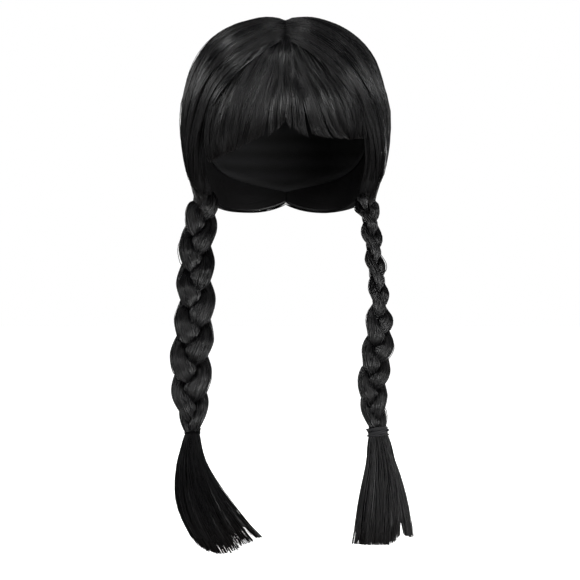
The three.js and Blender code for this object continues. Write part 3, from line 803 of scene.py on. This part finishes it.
def tube_tree():
    """Geometry Nodes that draw a closed round strand along each path of a mesh of edges."""
    name = "Strands along paths"
    if name in bpy.data.node_groups:
        return bpy.data.node_groups[name]
    tree = bpy.data.node_groups.new(name, "GeometryNodeTree")
    for label, way, kind in (
        ("Geometry", "INPUT", "Geometry"),
        ("Thickness", "INPUT", "Float"),
        ("Sides", "INPUT", "Int"),
        ("Material", "INPUT", "Material"),
        ("Geometry", "OUTPUT", "Geometry"),
    ):
        tree.interface.new_socket(label, in_out=way, socket_type=f"NodeSocket{kind}")

    def add(kind, **values):
        node = tree.nodes.new(kind)
        for label, value in values.items():
            socket = node.inputs[label.replace("_", " ")]
            if isinstance(value, bpy.types.NodeSocket):
                tree.links.new(value, socket)
            else:
                socket.default_value = value
        return node

    given = tree.nodes.new("NodeGroupInput").outputs
    size = add("GeometryNodeInputNamedAttribute", Name="size")
    scale = add("ShaderNodeMath")
    scale.operation = "MULTIPLY"
    tree.links.new(size.outputs["Attribute"], scale.inputs[0])
    tree.links.new(given["Thickness"], scale.inputs[1])
    paths = add("GeometryNodeMeshToCurve", Mesh=given["Geometry"])
    ring = add("GeometryNodeCurvePrimitiveCircle", Resolution=given["Sides"], Radius=1.0)
    tubes = add(
        "GeometryNodeCurveToMesh",
        Curve=paths.outputs[0],
        Profile_Curve=ring.outputs[0],
        Scale=scale.outputs[0],
        Fill_Caps=True,
    )
    smooth = add("GeometryNodeSetShadeSmooth", Geometry=tubes.outputs[0], Shade_Smooth=True)
    real = add("GeometryNodeRealizeInstances", Geometry=smooth.outputs[0])
    painted = add("GeometryNodeSetMaterial", Geometry=real.outputs[0], Material=given["Material"])
    result = tree.nodes.new("NodeGroupOutput")
    tree.links.new(painted.outputs[0], result.inputs[0])
    return tree


def add_object(name, data):
    made = bpy.data.objects.new(name, data)
    bpy.context.collection.objects.link(made)
    return made


def add_map(mesh, places):
    """Gives a mesh the map that its materials read. places has each corner's place on it."""
    layer = mesh.uv_layers.new(name="OFBake")
    layer.data.foreach_set("uv", np.asarray(places, np.float32).ravel())


def make_tubes(name, paths, sizes, material, thickness, sides):
    """One mesh of round strands. paths has each strand's points in millimetres, sizes their width."""
    count, length = paths.shape[:2]
    guide = bpy.data.meshes.new(name)
    number = np.arange(count * length).reshape(count, length)
    edges = np.stack([number[:, :-1], number[:, 1:]], -1).reshape(-1, 2)
    guide.from_pydata((paths.reshape(-1, 3) / 1000).tolist(), edges.tolist(), [])
    widths = guide.attributes.new("size", "FLOAT", "POINT")
    widths.data.foreach_set("value", sizes.astype(np.float32).ravel())
    maker = add_object(name, guide)
    modifier = maker.modifiers.new("Strands", "NODES")
    modifier.node_group = tube_tree()
    given = {"Thickness": thickness, "Sides": sides, "Material": material}
    for socket in modifier.node_group.interface.items_tree:
        if socket.in_out == "INPUT" and socket.name in given:
            modifier[socket.identifier] = given[socket.name]
    depsgraph = bpy.context.evaluated_depsgraph_get()
    mesh = bpy.data.meshes.new_from_object(maker.evaluated_get(depsgraph), depsgraph=depsgraph)
    maker.modifiers.clear()
    maker.data = mesh
    bpy.data.meshes.remove(guide)
    mesh.name = name
    if len(mesh.vertices) != count * length * sides:
        raise RuntimeError(f"{name}: the strands have {len(mesh.vertices)} points")
    return maker


def map_strands(piece, count, length, rng):
    """Gives each strand its own tint across the map, and its length along it."""
    mesh = piece.data
    corner = np.empty(len(mesh.loops), np.int32)
    mesh.loops.foreach_get("vertex_index", corner)
    side = corner % STRAND_SIDES
    along = corner // STRAND_SIDES % length / (length - 1)
    streaks = count // STREAK + 2
    shared = np.interp(np.arange(count) / STREAK, np.arange(streaks), rng.random(streaks))
    tint = lerp(shared, rng.random(count), 0.35)[corner // (STRAND_SIDES * length)]
    spread = 0.004 * side / STRAND_SIDES
    places = np.stack([0.01 + 0.97 * tint + spread, 0.02 + 0.96 * along], -1)
    add_map(mesh, places)


def make_strands(name, paths, sizes, rng, material, thickness=1.0):
    """Strands of hair along paths, with their map."""
    width = settings().strand_thickness * thickness
    piece = make_tubes(name, paths, sizes, material, width, STRAND_SIDES)
    map_strands(piece, paths.shape[0], paths.shape[1], rng)
    return piece


def make_mesh(name, points, faces, places, material):
    """A closed mesh with its faces turned outwards, and its map."""
    mesh = bpy.data.meshes.new(name)
    mesh.from_pydata((points / 1000).tolist(), [], faces)
    mesh.materials.append(material)
    add_map(mesh, places)
    mesh.shade_smooth()
    thirds = [(face[0], *face[n : n + 2]) for face in faces for n in range(1, len(face) - 1)]
    first, second, third = (points[list(corner)] for corner in zip(*thirds))
    if (first * np.cross(second, third)).sum() < 0:
        mesh.flip_normals()
    return add_object(name, mesh)


def make_sheet(name, steps, layers, material):
    """A sheet with thickness: an outer and an inner grid, closed round their four edges."""
    across, along = np.meshgrid(*(np.linspace(0, 1, n + 1) for n in steps), indexing="ij")
    layer = across.size
    near = np.arange(layer).reshape(across.shape)
    far = near + layer
    grid = np.stack([near[:-1, :-1], near[1:, :-1], near[1:, 1:], near[:-1, 1:]], -1).reshape(-1, 4)
    faces = [grid, grid[:, ::-1] + layer]
    edges = ((near[:, 0], far[:, 0]), (far[:, -1], near[:, -1]), (far[0], near[0]), (near[-1], far[-1]))
    for start, end in edges:
        faces.append(np.stack([start[:-1], end[:-1], end[1:], start[1:]], -1))
    faces = np.concatenate(faces)
    flat = np.stack([across.ravel(), along.ravel() * 0.9], -1)
    places = np.concatenate([flat, flat * (1, 0.1) + (0, 0.905)])[faces]
    points = layers(across, along).reshape(-1, 3)
    return make_mesh(name, points, faces.tolist(), places, material)


def make_loft(name, rings, material):
    """A closed solid through rings of points, one row of them for each step along it."""
    steps, sides = rings.shape[:2]
    points = np.concatenate([rings.reshape(-1, 3), rings[[0, -1]].mean(1)])
    number = np.arange(steps * sides).reshape(steps, sides)
    after = np.roll(number, -1, 1)
    walls = np.stack([number[:-1], after[:-1], after[1:], number[1:]], -1).reshape(-1, 4)
    round_share = np.linspace(0, 1, sides, endpoint=False)[None, :].repeat(steps, 0)
    along_share = np.linspace(0, 0.95, steps)[:, None].repeat(sides, 1)
    corners = np.stack([round_share.ravel(), along_share.ravel()], -1)[walls]
    corners[:, 1:3, 0] = np.where(corners[:, 1:3, 0] == 0, 1, corners[:, 1:3, 0])
    top, foot = len(points) - 2, len(points) - 1
    ends = [(top, b, a) for a, b in zip(number[0].tolist(), after[0].tolist())]
    ends += [(foot, a, b) for a, b in zip(number[-1].tolist(), after[-1].tolist())]
    places = corners.reshape(-1, 2).tolist() + [(0.5, 0.98)] * (3 * len(ends))
    return make_mesh(name, points, walls.tolist() + ends, places, material)


def strand_steps(count, rng):
    """Places between 0 and 1 for strands side by side, each at random inside its own step."""
    return (np.arange(count) + rng.random(count)) / count


def strand_height(rng, count, length, low, high, swing):
    """How far strands stand off: each its own height, with slow swings along it."""
    return rng.uniform(low, high, (count, 1)) + swing * wander(rng, count, length)


def strays(rng, count, share, low, high):
    """How far a few of the strands bow off the others."""
    chosen = rng.random((count, 1)) < STRAY_SHARE
    return chosen * rng.uniform(low, high, (count, 1)) * np.sin(math.pi * share)


def wander(rng, count, length, waves=2):
    """Slow random swings along each strand, mostly between -1 and 1."""
    share = np.linspace(0, 1, length)[None, :]
    total = np.zeros((count, length))
    for n in range(1, waves + 1):
        phase = rng.random((count, 1)) * 2 * math.pi
        total += rng.normal(0, 0.5, (count, 1)) * np.sin(math.pi * n * share * 1.3 + phase) / n
    return total


def tapered(rng, count, length, root=0.35, tip=0.3):
    """The width of each strand along its length, as a share of a usual strand."""
    share = np.linspace(0, 1, length)[None, :]
    width = lerp(root, 1, smoothstep(share, 0, 0.12)) * lerp(1, tip, smoothstep(share, 0.72, 1))
    return width * (1 + 0.3 * rng.uniform(-1, 1, (count, 1)))


def gather(across, centres, pull):
    """Moves strands part of the way to the nearest of some places."""
    nearest = centres[np.abs(across[:, None] - centres[None, :]).argmin(1)]
    return across[:, None] + (nearest - across)[:, None] * pull


def lock_waves(rng, across, centres, along, height):
    """A slow rise and fall along the hair, which the strands of one lock share."""
    rate = rng.uniform(0.8, 2.4, len(centres))
    phase = rng.uniform(0, 2 * math.pi, len(centres))
    size = height * rng.uniform(0.4, 1, len(centres))

    def wave(n):
        return size[n][:, None] * np.sin(2 * math.pi * rate[n][:, None] * along + phase[n][:, None])

    low = np.clip(np.searchsorted(centres, across) - 1, 0, len(centres) - 2)
    share = (across - centres[low]) / (centres[low + 1] - centres[low])
    return lerp(wave(low), wave(low + 1), smoothstep(share, 0.3, 0.7)[:, None])


def crown_strands(half, rng):
    """The paths of the strands in one half of the crown, combed from the parting to the ear."""
    count, length = settings().crown_strands, STRAND_POINTS["crown"]
    root = lerp(-CROWN_RIM, 1 + CROWN_RIM, strand_steps(count, rng))
    centres = np.linspace(-CROWN_RIM, 1 + CROWN_RIM, CROWN_LOCKS)
    centres += rng.uniform(-0.4, 0.4, CROWN_LOCKS) * (centres[1] - centres[0])
    late = rng.random(count) < CROWN_LATE
    start = np.where(late, rng.uniform(0.03, 0.45, count), rng.uniform(-0.012, 0.02, count))
    whole = rng.random(count) < 0.5
    bundled, short = rng.uniform(1.01, 1.09, count), rng.uniform(0.55, 1, count)
    end = np.where(whole, bundled, lerp(start, 1, short))
    share = np.linspace(0, 1, length)[None, :] ** 1.3
    along = lerp(start[:, None], end[:, None], share)
    across = gather(root, centres, 0.4 * smoothstep(along, 0, 0.5))
    across = across + 0.006 * wander(rng, count, length)
    height = strand_height(rng, count, length, -0.15, 0.5, 0.3)
    calm = smoothstep(along, 0.02, 0.15) * (1 - smoothstep(along, 0.8, 1))
    swaths = np.linspace(-0.1, 1.1, SWATHS) + rng.uniform(-0.04, 0.04, SWATHS)
    relief = lock_waves(rng, root, centres, along, CROWN_RELIEF)
    height = height + (relief + lock_waves(rng, root, swaths, along, SWATH_RELIEF)) * calm
    height = np.minimum(height, 0.4 + 0.3 * height) + 1.2 * (1 - smoothstep(along, 0.05, 0.2))
    height = height - 1.6 * (1 - smoothstep(along, -0.01, 0.03))
    sunk = 1 - smoothstep(share, 0, 0.08) * (1 - smoothstep(share, 0.85, 1))
    height = height + strays(rng, count, share, 0.5, 2.2) - 0.9 * sunk
    paths = crown_place(half, across, along, height)
    onto = bundle_place(half, across, 1.1 * (along - 1), height - 3 * smoothstep(along, 1, 1.07))
    joined = smoothstep(along, 0.93, 1.01)[..., None]
    return lerp(paths, onto, joined), tapered(rng, count, length)


def bundle_place(half, across, down, height):
    """A place round the upper end of a plait: its front, outer side and back for across from 0 to 1."""
    middle, _, wide, deep, fullness = plait_frame(half, down)
    angle = math.pi * np.clip(across, -0.02, 1.1)
    out = half["side"] * np.sin(angle) * (fullness * half["half_width"] * 0.98 + height)
    front = np.cos(angle) * (fullness * half["half_depth"] * 1.02 + height)
    return middle + wide * out[..., None] + deep * front[..., None]


def fringe_strands(half, rng):
    """The paths of the strands in one half of the fringe, gathered into pointed locks."""
    count, length = settings().fringe_strands, STRAND_POINTS["fringe"]
    root = lerp(-FRINGE_CROSS, 1, strand_steps(count, rng))
    bounds = np.linspace(-FRINGE_CROSS, 1, FRINGE_TIPS + 2)
    bounds[1:-1] += rng.uniform(-0.3, 0.3, FRINGE_TIPS) * (bounds[1] - bounds[0])
    lock = np.searchsorted(bounds, root) - 1
    width = bounds[lock + 1] - bounds[lock]
    place = (root - bounds[lock]) / width
    reach = rng.uniform(1.0, 1.03, FRINGE_TIPS + 1)[lock] - 0.3 * width * (1 - place) ** 1.3
    reach = reach - 0.05 * rng.random(count) ** 2 + 0.02 * (1 - smoothstep(np.abs(root), 0, 0.2))
    whole = rng.random(count) < FRINGE_WHOLE
    start = np.where(whole, rng.uniform(-0.035, -0.015, count), rng.uniform(0.03, 0.5, count))
    share = np.linspace(0, 1, length)[None, :]
    along = lerp(start[:, None], reach[:, None], share)
    tip = (bounds[lock] + width * 0.7 - root)[:, None]
    across = root[:, None] + tip * 0.22 * smoothstep(along, 0.6, 1.04)
    across = across + half["sweep"] * smoothstep(across, -0.1, 0.3) * (1 - across) * along**2
    across = np.minimum(across + 0.008 * wander(rng, count, length), 1.0)
    inner = 2.4 * rng.random((count, 1)) ** 1.5 * smoothstep(along, 0.5, 0.95)
    height = strand_height(rng, count, length, -0.1, 0.45, 0.3)
    centres = np.linspace(-FRINGE_CROSS, 1, FRINGE_TIPS * 2 + 1)
    swaths = np.linspace(-0.2, 1.05, SWATHS // 2 + 2)
    relief = lock_waves(rng, root, centres, along, FRINGE_RELIEF)
    relief = relief + lock_waves(rng, root, swaths, along, 0.6 * SWATH_RELIEF)
    calm = lerp(0.3, 1, smoothstep(root, 0, 0.25))[:, None]
    height = height + relief * smoothstep(along, 0, 0.2) * calm
    height = height - inner - 4 * (1 - smoothstep(share, 0, 0.14))
    return fringe_place(half, across, along, height), tapered(rng, count, length, tip=0.2)


def lock_strands(half, number, rng):
    """The paths of the strands on one of a plait's locks, each along part of it."""
    count, length = settings().plait_strands, STRAND_POINTS["plait"]
    angle = 2 * math.pi * strand_steps(count, rng)
    reach = rng.uniform(0.2, 0.34, count)
    start = rng.uniform(-0.2, 0.95, count)
    share = np.linspace(0, 1, length)[None, :]
    down = np.clip(lerp(start[:, None], (start + reach)[:, None], share), PLAIT_TOP, 1.0)
    turn = angle[:, None] + 0.25 * wander(rng, count, length, 1)
    turn = turn + rng.normal(0, 0.12, (count, 1)) * share
    height = strand_height(rng, count, length, -0.25, 0.35, 0.2)
    sunk = 1 - smoothstep(np.sin(math.pi * share), 0, 0.35)
    height = height + strays(rng, count, share, 0.4, 1.6) - 0.7 * sunk
    height = height - 2.6 * lock_top(down)
    keep = np.ptp(down, axis=1) > 0.03
    paths = lock_point(half, number, down, turn, height)[keep]
    return paths, tapered(rng, len(paths), length)


def lock_backing(half, number):
    """Rings round one of a plait's locks, below its strands."""
    rings, sides = GRIDS["plait"]
    down = np.linspace(PLAIT_TOP, 1, rings)[:, None]
    angle = np.linspace(0, 2 * math.pi, sides, endpoint=False)[None, :]
    return lock_point(half, number, down, angle, -0.4 - 3 * lock_top(down))


def tassel_row(half, column, lock):
    """One column of the table of a tassel's locks, between its front rows or at the back lock's."""
    rows = np.array(half["tassel"][column], float)
    low = np.clip(np.floor(lock).astype(int), 0, BACK_LOCK - 2)
    front = lerp(rows[low], rows[low + 1], np.clip(lock, -0.3, 5.6) - low)
    return np.where(lock >= BACK_LOCK, rows[BACK_LOCK], front)


def tassel_centre(half, lock, tip, share):
    """The middle of a tassel's lock at shares of its length below the tie, from the tie's middle."""

    def through(start, column):
        middle = tassel_row(half, f"mid_{column}", lock)[:, None]
        last = tassel_row(half, f"tip_{column}", tip)[:, None]
        bend = 4 * middle * (1 - share) + last * (2 * share - 1)
        return start * (1 - share) * (1 - 2 * share) + share * bend

    reach = half["tassel_reach"]
    x = through(0, "across") * reach
    y = -through(0, "forward") * reach
    z = -through(TASSEL_NECK, "down") * half["tassel_length"]
    return np.stack([x, y, z], -1)


def tassel_strands(half, rng):
    """The paths of the strands below a tie, spread from the tie to the locks' tips."""
    count, length = settings().tassel_strands, STRAND_POINTS["tassel"]
    hidden = rng.random(count) < TASSEL_BEHIND
    lock = np.sort(np.where(hidden, BACK_LOCK, rng.uniform(-0.3, 5.3, count)))
    behind = lock == BACK_LOCK
    prongs = np.array(half["prongs"])
    nearest = np.abs(lock[:, None] - prongs[None, :]).argmin(1)
    pull = np.array(half["prong_pull"])[nearest] * smoothstep(lock, prongs[0] - 0.6, prongs[0])
    pulled = lerp(lock, prongs[nearest], pull) + rng.normal(0, 0.06, count)
    tip = np.where(behind, BACK_LOCK, pulled)
    share = lerp(-0.05, 1, np.linspace(0, 1, length)[None, :] ** 1.5)
    length_share = 1.01 - half["tassel_cut"] * rng.random(count) ** 2.5
    share = np.where(share > 0, share * length_share[:, None], share)
    size = (tassel_row(half, "half", lock) * half["tassel_reach"])[:, None]
    spin = rng.random(count) * 2 * math.pi
    far = rng.random(count) ** 0.4
    side_share, deep_share = (far * np.cos(spin))[:, None], (far * np.sin(spin))[:, None]
    half_width, half_depth = tied_hair(half)
    place = np.clip((lock - 2.5) / 2.8, -1, 1)[:, None]
    place = np.where(behind[:, None], side_share, place)
    tied_depth = 0.92 * half_depth * deep_share * np.sqrt(np.clip(1 - place**2, 0.05, 1))
    end, _, wide, deep = plait_end(half)
    tied = 0.97 * half_width * place * wide + tied_depth * deep
    close_up = 1 - 0.45 * smoothstep(share, 0.6, 1)
    loose_x = size * 0.75 * side_share * close_up
    loose_y = -TASSEL_FLATNESS * size * lerp(1, 0.5, share**2) * deep_share
    begin = rng.uniform(-0.06, 0.03, (count, 1))
    open_out = smoothstep(share, begin, begin + 0.34)[..., None]
    offset = lerp(tied[:, None, :], np.stack([loose_x, loose_y, 0 * loose_x], -1), open_out)
    swing = 0.8 * wander(rng, count, length, 3)[..., None] * open_out * (1, 0.6, 0)
    paths = tassel_centre(half, lock, tip, share) + offset + swing + end
    return paths, tapered(rng, count, length, root=0.9, tip=0.5)


def tassel_core(half, number):
    """Rings round one lock of a tassel, inside its strands."""
    rings, sides = GRIDS["core"]
    share = np.linspace(0.05, 0.9, rings)[None, :]
    lock = np.array([float(number)])
    centre = tassel_centre(half, lock, lock, share)[0] + plait_end(half)[0]
    size = tassel_row(half, "half", lock)[0] * half["tassel_reach"]
    size = CORE_SIZE * size * lerp(0.35, 1, smoothstep(share[0], 0, 0.45)) * (1 - 0.5 * share[0] ** 3)
    angle = np.linspace(0, 2 * math.pi, sides, endpoint=False)
    ring = np.stack([np.cos(angle), TASSEL_FLATNESS * 0.7 * np.sin(angle), 0 * angle], -1)
    return centre[:, None, :] + ring[None, :, :] * size[:, None, None]


def finish_piece(piece, slot, *nodes):
    """Sets a piece's body, and hides the CAD nodes whose place it takes. Its slot is not used."""
    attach(piece, "root")
    if nodes:
        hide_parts(*nodes)


def crown_backing(half, across, along):
    """The outer and inner layer of the mass of hair in one half of the crown."""
    across = lerp(SHEET_INSET, 1 - SHEET_INSET, across)
    closing = smoothstep(along, 0.92, 1)
    outer = crown_place(half, across, along, -2.2 - 3 * closing)
    inner = hair_point(crown_direction(half["side"], across, along), 0.0, 2 * closing)
    return np.stack([outer, inner])


def fringe_backing(half, across, along):
    """The outer and inner layer of the mass of hair in one half of the fringe."""
    reach = FRINGE_BACKING * along
    outer = fringe_place(half, across, reach, -1.7 - 1.2 * along**3)
    inner = hair_point(fringe_direction(half["side"], half["hem"], across, reach), 0.0)
    return np.stack([outer, inner])


def random_numbers(part, half):
    """A source of random numbers for one part of the hair on one side."""
    return np.random.default_rng(settings().seed + SEED_STEPS[part] + half["side"])


def build_hair(part, backing, strands):
    """Both halves of a part of the hair: a mass below, which laps the parting, and its strands."""
    for half in HALVES:
        rng = random_numbers(part, half)
        name = f"{part}_{half['word']}"

        def layers(across, along, half=half):
            return backing(half, across, along) - (half["side"] * MIDDLE_LAP, 0, 0)

        mass = make_sheet(name, GRIDS[part], layers, backing_finish())
        finish_piece(mass, "hair", name)
        piece = make_strands(f"{name}_strands", *strands(half, rng), rng, strand_finish())
        finish_piece(piece, "hair")


class WIG_OT_cap(Operator):
    """Build the net cap that the hair is sewn to"""

    bl_idname = "wig.cap"
    bl_label = "Cap"

    def execute(self, context):
        turns, rings = GRIDS["cap"]
        turn = np.linspace(-math.pi, math.pi, turns, endpoint=False)[:, None]
        reach = np.radians(read_table(CAP_EDGE, "turn", "reach", np.abs(np.degrees(turn))))
        angle = reach * np.linspace(0.004, 1, rings)[None, :]
        flat = np.stack([np.sin(turn), -np.cos(turn), 0 * turn], -1)
        up = np.array([0, 0, 1.0])
        direction = flat * np.sin(angle)[..., None] + up * np.cos(angle)[..., None]
        outer = shell_point(direction, *[CAP_WALL] * 4)
        inner = shell_point(direction, *[0.0] * 4)
        wall = np.concatenate([outer, inner[:, ::-1]], 1).transpose(1, 0, 2)
        piece = make_loft("cap", wall, net_finish())
        finish_piece(piece, "cap_net", "cap")
        return {"FINISHED"}


class WIG_OT_crown(Operator):
    """Build the hair each side of the parting, combed over the side and back of the head"""

    bl_idname = "wig.crown"
    bl_label = "Crown"

    def execute(self, context):
        build_hair("crown", crown_backing, crown_strands)
        return {"FINISHED"}


class WIG_OT_fringe(Operator):
    """Build the two halves of the fringe"""

    bl_idname = "wig.fringe"
    bl_label = "Fringe"

    def execute(self, context):
        build_hair("fringe", fringe_backing, fringe_strands)
        return {"FINISHED"}


class WIG_OT_plaits(Operator):
    """Build the three locks of each plait"""

    bl_idname = "wig.plaits"
    bl_label = "Plaits"

    def execute(self, context):
        for half in HALVES:
            rng = random_numbers("plait", half)
            for number in range(3):
                name = f"{half['word']}_braid_strand_{number + 1}"
                mass = make_loft(name, lock_backing(half, number), backing_finish())
                finish_piece(mass, "hair", name)
                material = strand_finish("Black strands, plaits", PLAIT_SHINE)
                paths, sizes = lock_strands(half, number, rng)
                piece = make_strands(f"{name}_hair", paths, sizes, rng, material)
                finish_piece(piece, "hair")
        return {"FINISHED"}


class WIG_OT_ties(Operator):
    """Build the elastics wound round the ends of the plaits"""

    bl_idname = "wig.ties"
    bl_label = "Ties"

    def execute(self, context):
        for half in HALVES:
            tie = half["tie"]
            middle, tangent, wide, deep = plait_end(half)
            half_width, half_depth = tied_hair(half)
            steps = TIE_STEPS * tie["windings"]
            turn = np.linspace(0, 2 * math.pi * tie["windings"], steps)
            slack = tie["slack"]
            level = (turn / turn[-1] - 0.5) * tie["spread"]
            level = level + slack * (np.sin(1.13 * turn) + 0.6 * np.sin(2.31 * turn + 1))
            loose = 1 + 0.7 * np.sin(0.83 * turn) + 0.5 * np.sin(1.57 * turn)
            out = 0.3 * tie["wire"] + slack * loose
            path = (
                middle
                + ((half_width + out) * np.cos(turn))[:, None] * wide
                + ((half_depth + out) * np.sin(turn))[:, None] * deep
                + level[:, None] * tangent
            )
            sizes = np.ones((1, steps))
            name = f"{half['word']}_tie"
            # Each tie gets its own copy of the elastic, darker with painted shade on the left and
            # lighter on the right
            material = elastic_finish(f"Elastic, {name}", tie["shade"])
            piece = make_tubes(name, path[None], sizes, material, tie["wire"] / 1000, TIE_SIDES)
            finish_piece(piece, "elastic", name)
        return {"FINISHED"}


class WIG_OT_tassels(Operator):
    """Build the loose hair below the ties"""

    bl_idname = "wig.tassels"
    bl_label = "Tassels"

    def execute(self, context):
        for half in HALVES:
            rng = random_numbers("tassel", half)
            name = f"{half['word']}_tassel"
            material = strand_finish(f"Black strands, {name}", half["tassel_shine"])
            strands = make_strands(name, *tassel_strands(half, rng), rng, material, 1.25)
            finish_piece(strands, "hair", name)
            for number in half["tassel"]["lock"]:
                rings = tassel_core(half, number)
                core = make_loft(f"{name}_core_{number + 1}", rings, backing_finish())
                finish_piece(core, "hair")
        return {"FINISHED"}


class WIG_OT_stage(Operator):
    """Set up the pale floor, the soft lights and the camera"""

    bl_idname = "wig.stage"
    bl_label = "Stage"

    def execute(self, context):
        low, high = CAD_BOX
        middle = (low + high) / 2
        colour = settings().floor_colour
        look = Finish("Pale floor", roughness=0.8, specular=0.2, colour=colour)
        level = low.z - settings().floor_gap
        bpy.ops.mesh.primitive_circle_add(
            vertices=96, radius=FLOOR_RADIUS, fill_type="NGON", location=(0, 0, level)
        )
        floor = bpy.context.object
        floor.name = "floor"
        look.set("Emission Color", (1, 1, 1, 1))
        look.set("Emission Strength", FLOOR_GLOW)
        floor.data.materials.append(look.material)
        floor.visible_glossy = False
        floor.visible_diffuse = False
        floor.visible_shadow = False

        bpy.context.scene.world = studio_world(colour)
        bpy.context.scene.view_settings.view_transform = "Standard"
        for kind, side, place, size, power in LIGHTS:
            name = f"{side} light"
            data = bpy.data.lights.new(name, kind)
            data.energy = power
            if kind == "SUN":
                data.angle = math.radians(size)
            else:
                data.size = size
            light = add_object(name, data)
            light.location = place
            light.visible_camera = False
            light.visible_glossy = kind != "SUN"
            light.rotation_euler = (middle - Vector(place)).to_track_quat("-Z", "Y").to_euler()

        data = bpy.data.cameras.new("camera")
        data.lens = CAMERA_LENS
        data.sensor_width = CAMERA_SENSOR
        camera = add_object("camera", data)
        camera.location = CAMERA_PLACE
        camera.rotation_euler = (math.radians(90), 0, 0)
        bpy.context.scene.camera = camera
        return {"FINISHED"}


class WIG_PT_build(Panel):
    """The steps that build the wig, and its sizes and colours"""

    bl_label = "Pigtail wig"
    bl_space_type = "VIEW_3D"
    bl_region_type = "UI"
    bl_category = "Wig"

    def draw(self, context):
        for step in STEPS:
            self.layout.operator(step.bl_idname)
        for name in WigSettings.__annotations__:
            self.layout.prop(context.scene.wig_settings, name)


STEPS = (
    WIG_OT_cap,
    WIG_OT_crown,
    WIG_OT_fringe,
    WIG_OT_plaits,
    WIG_OT_ties,
    WIG_OT_tassels,
    WIG_OT_stage,
)
CLASSES = (WigSettings, *STEPS, WIG_PT_build)


def register():
    for part in CLASSES:
        bpy.utils.register_class(part)
    bpy.types.Scene.wig_settings = PointerProperty(type=WigSettings)


def unregister():
    del bpy.types.Scene.wig_settings
    for part in reversed(CLASSES):
        bpy.utils.unregister_class(part)


def main():
    register()
    bpy.ops.wig.cap()
    bpy.ops.wig.crown()
    bpy.ops.wig.fringe()
    bpy.ops.wig.plaits()
    bpy.ops.wig.ties()
    bpy.ops.wig.tassels()
    bpy.ops.wig.stage()


if __name__ == "__main__":
    main()
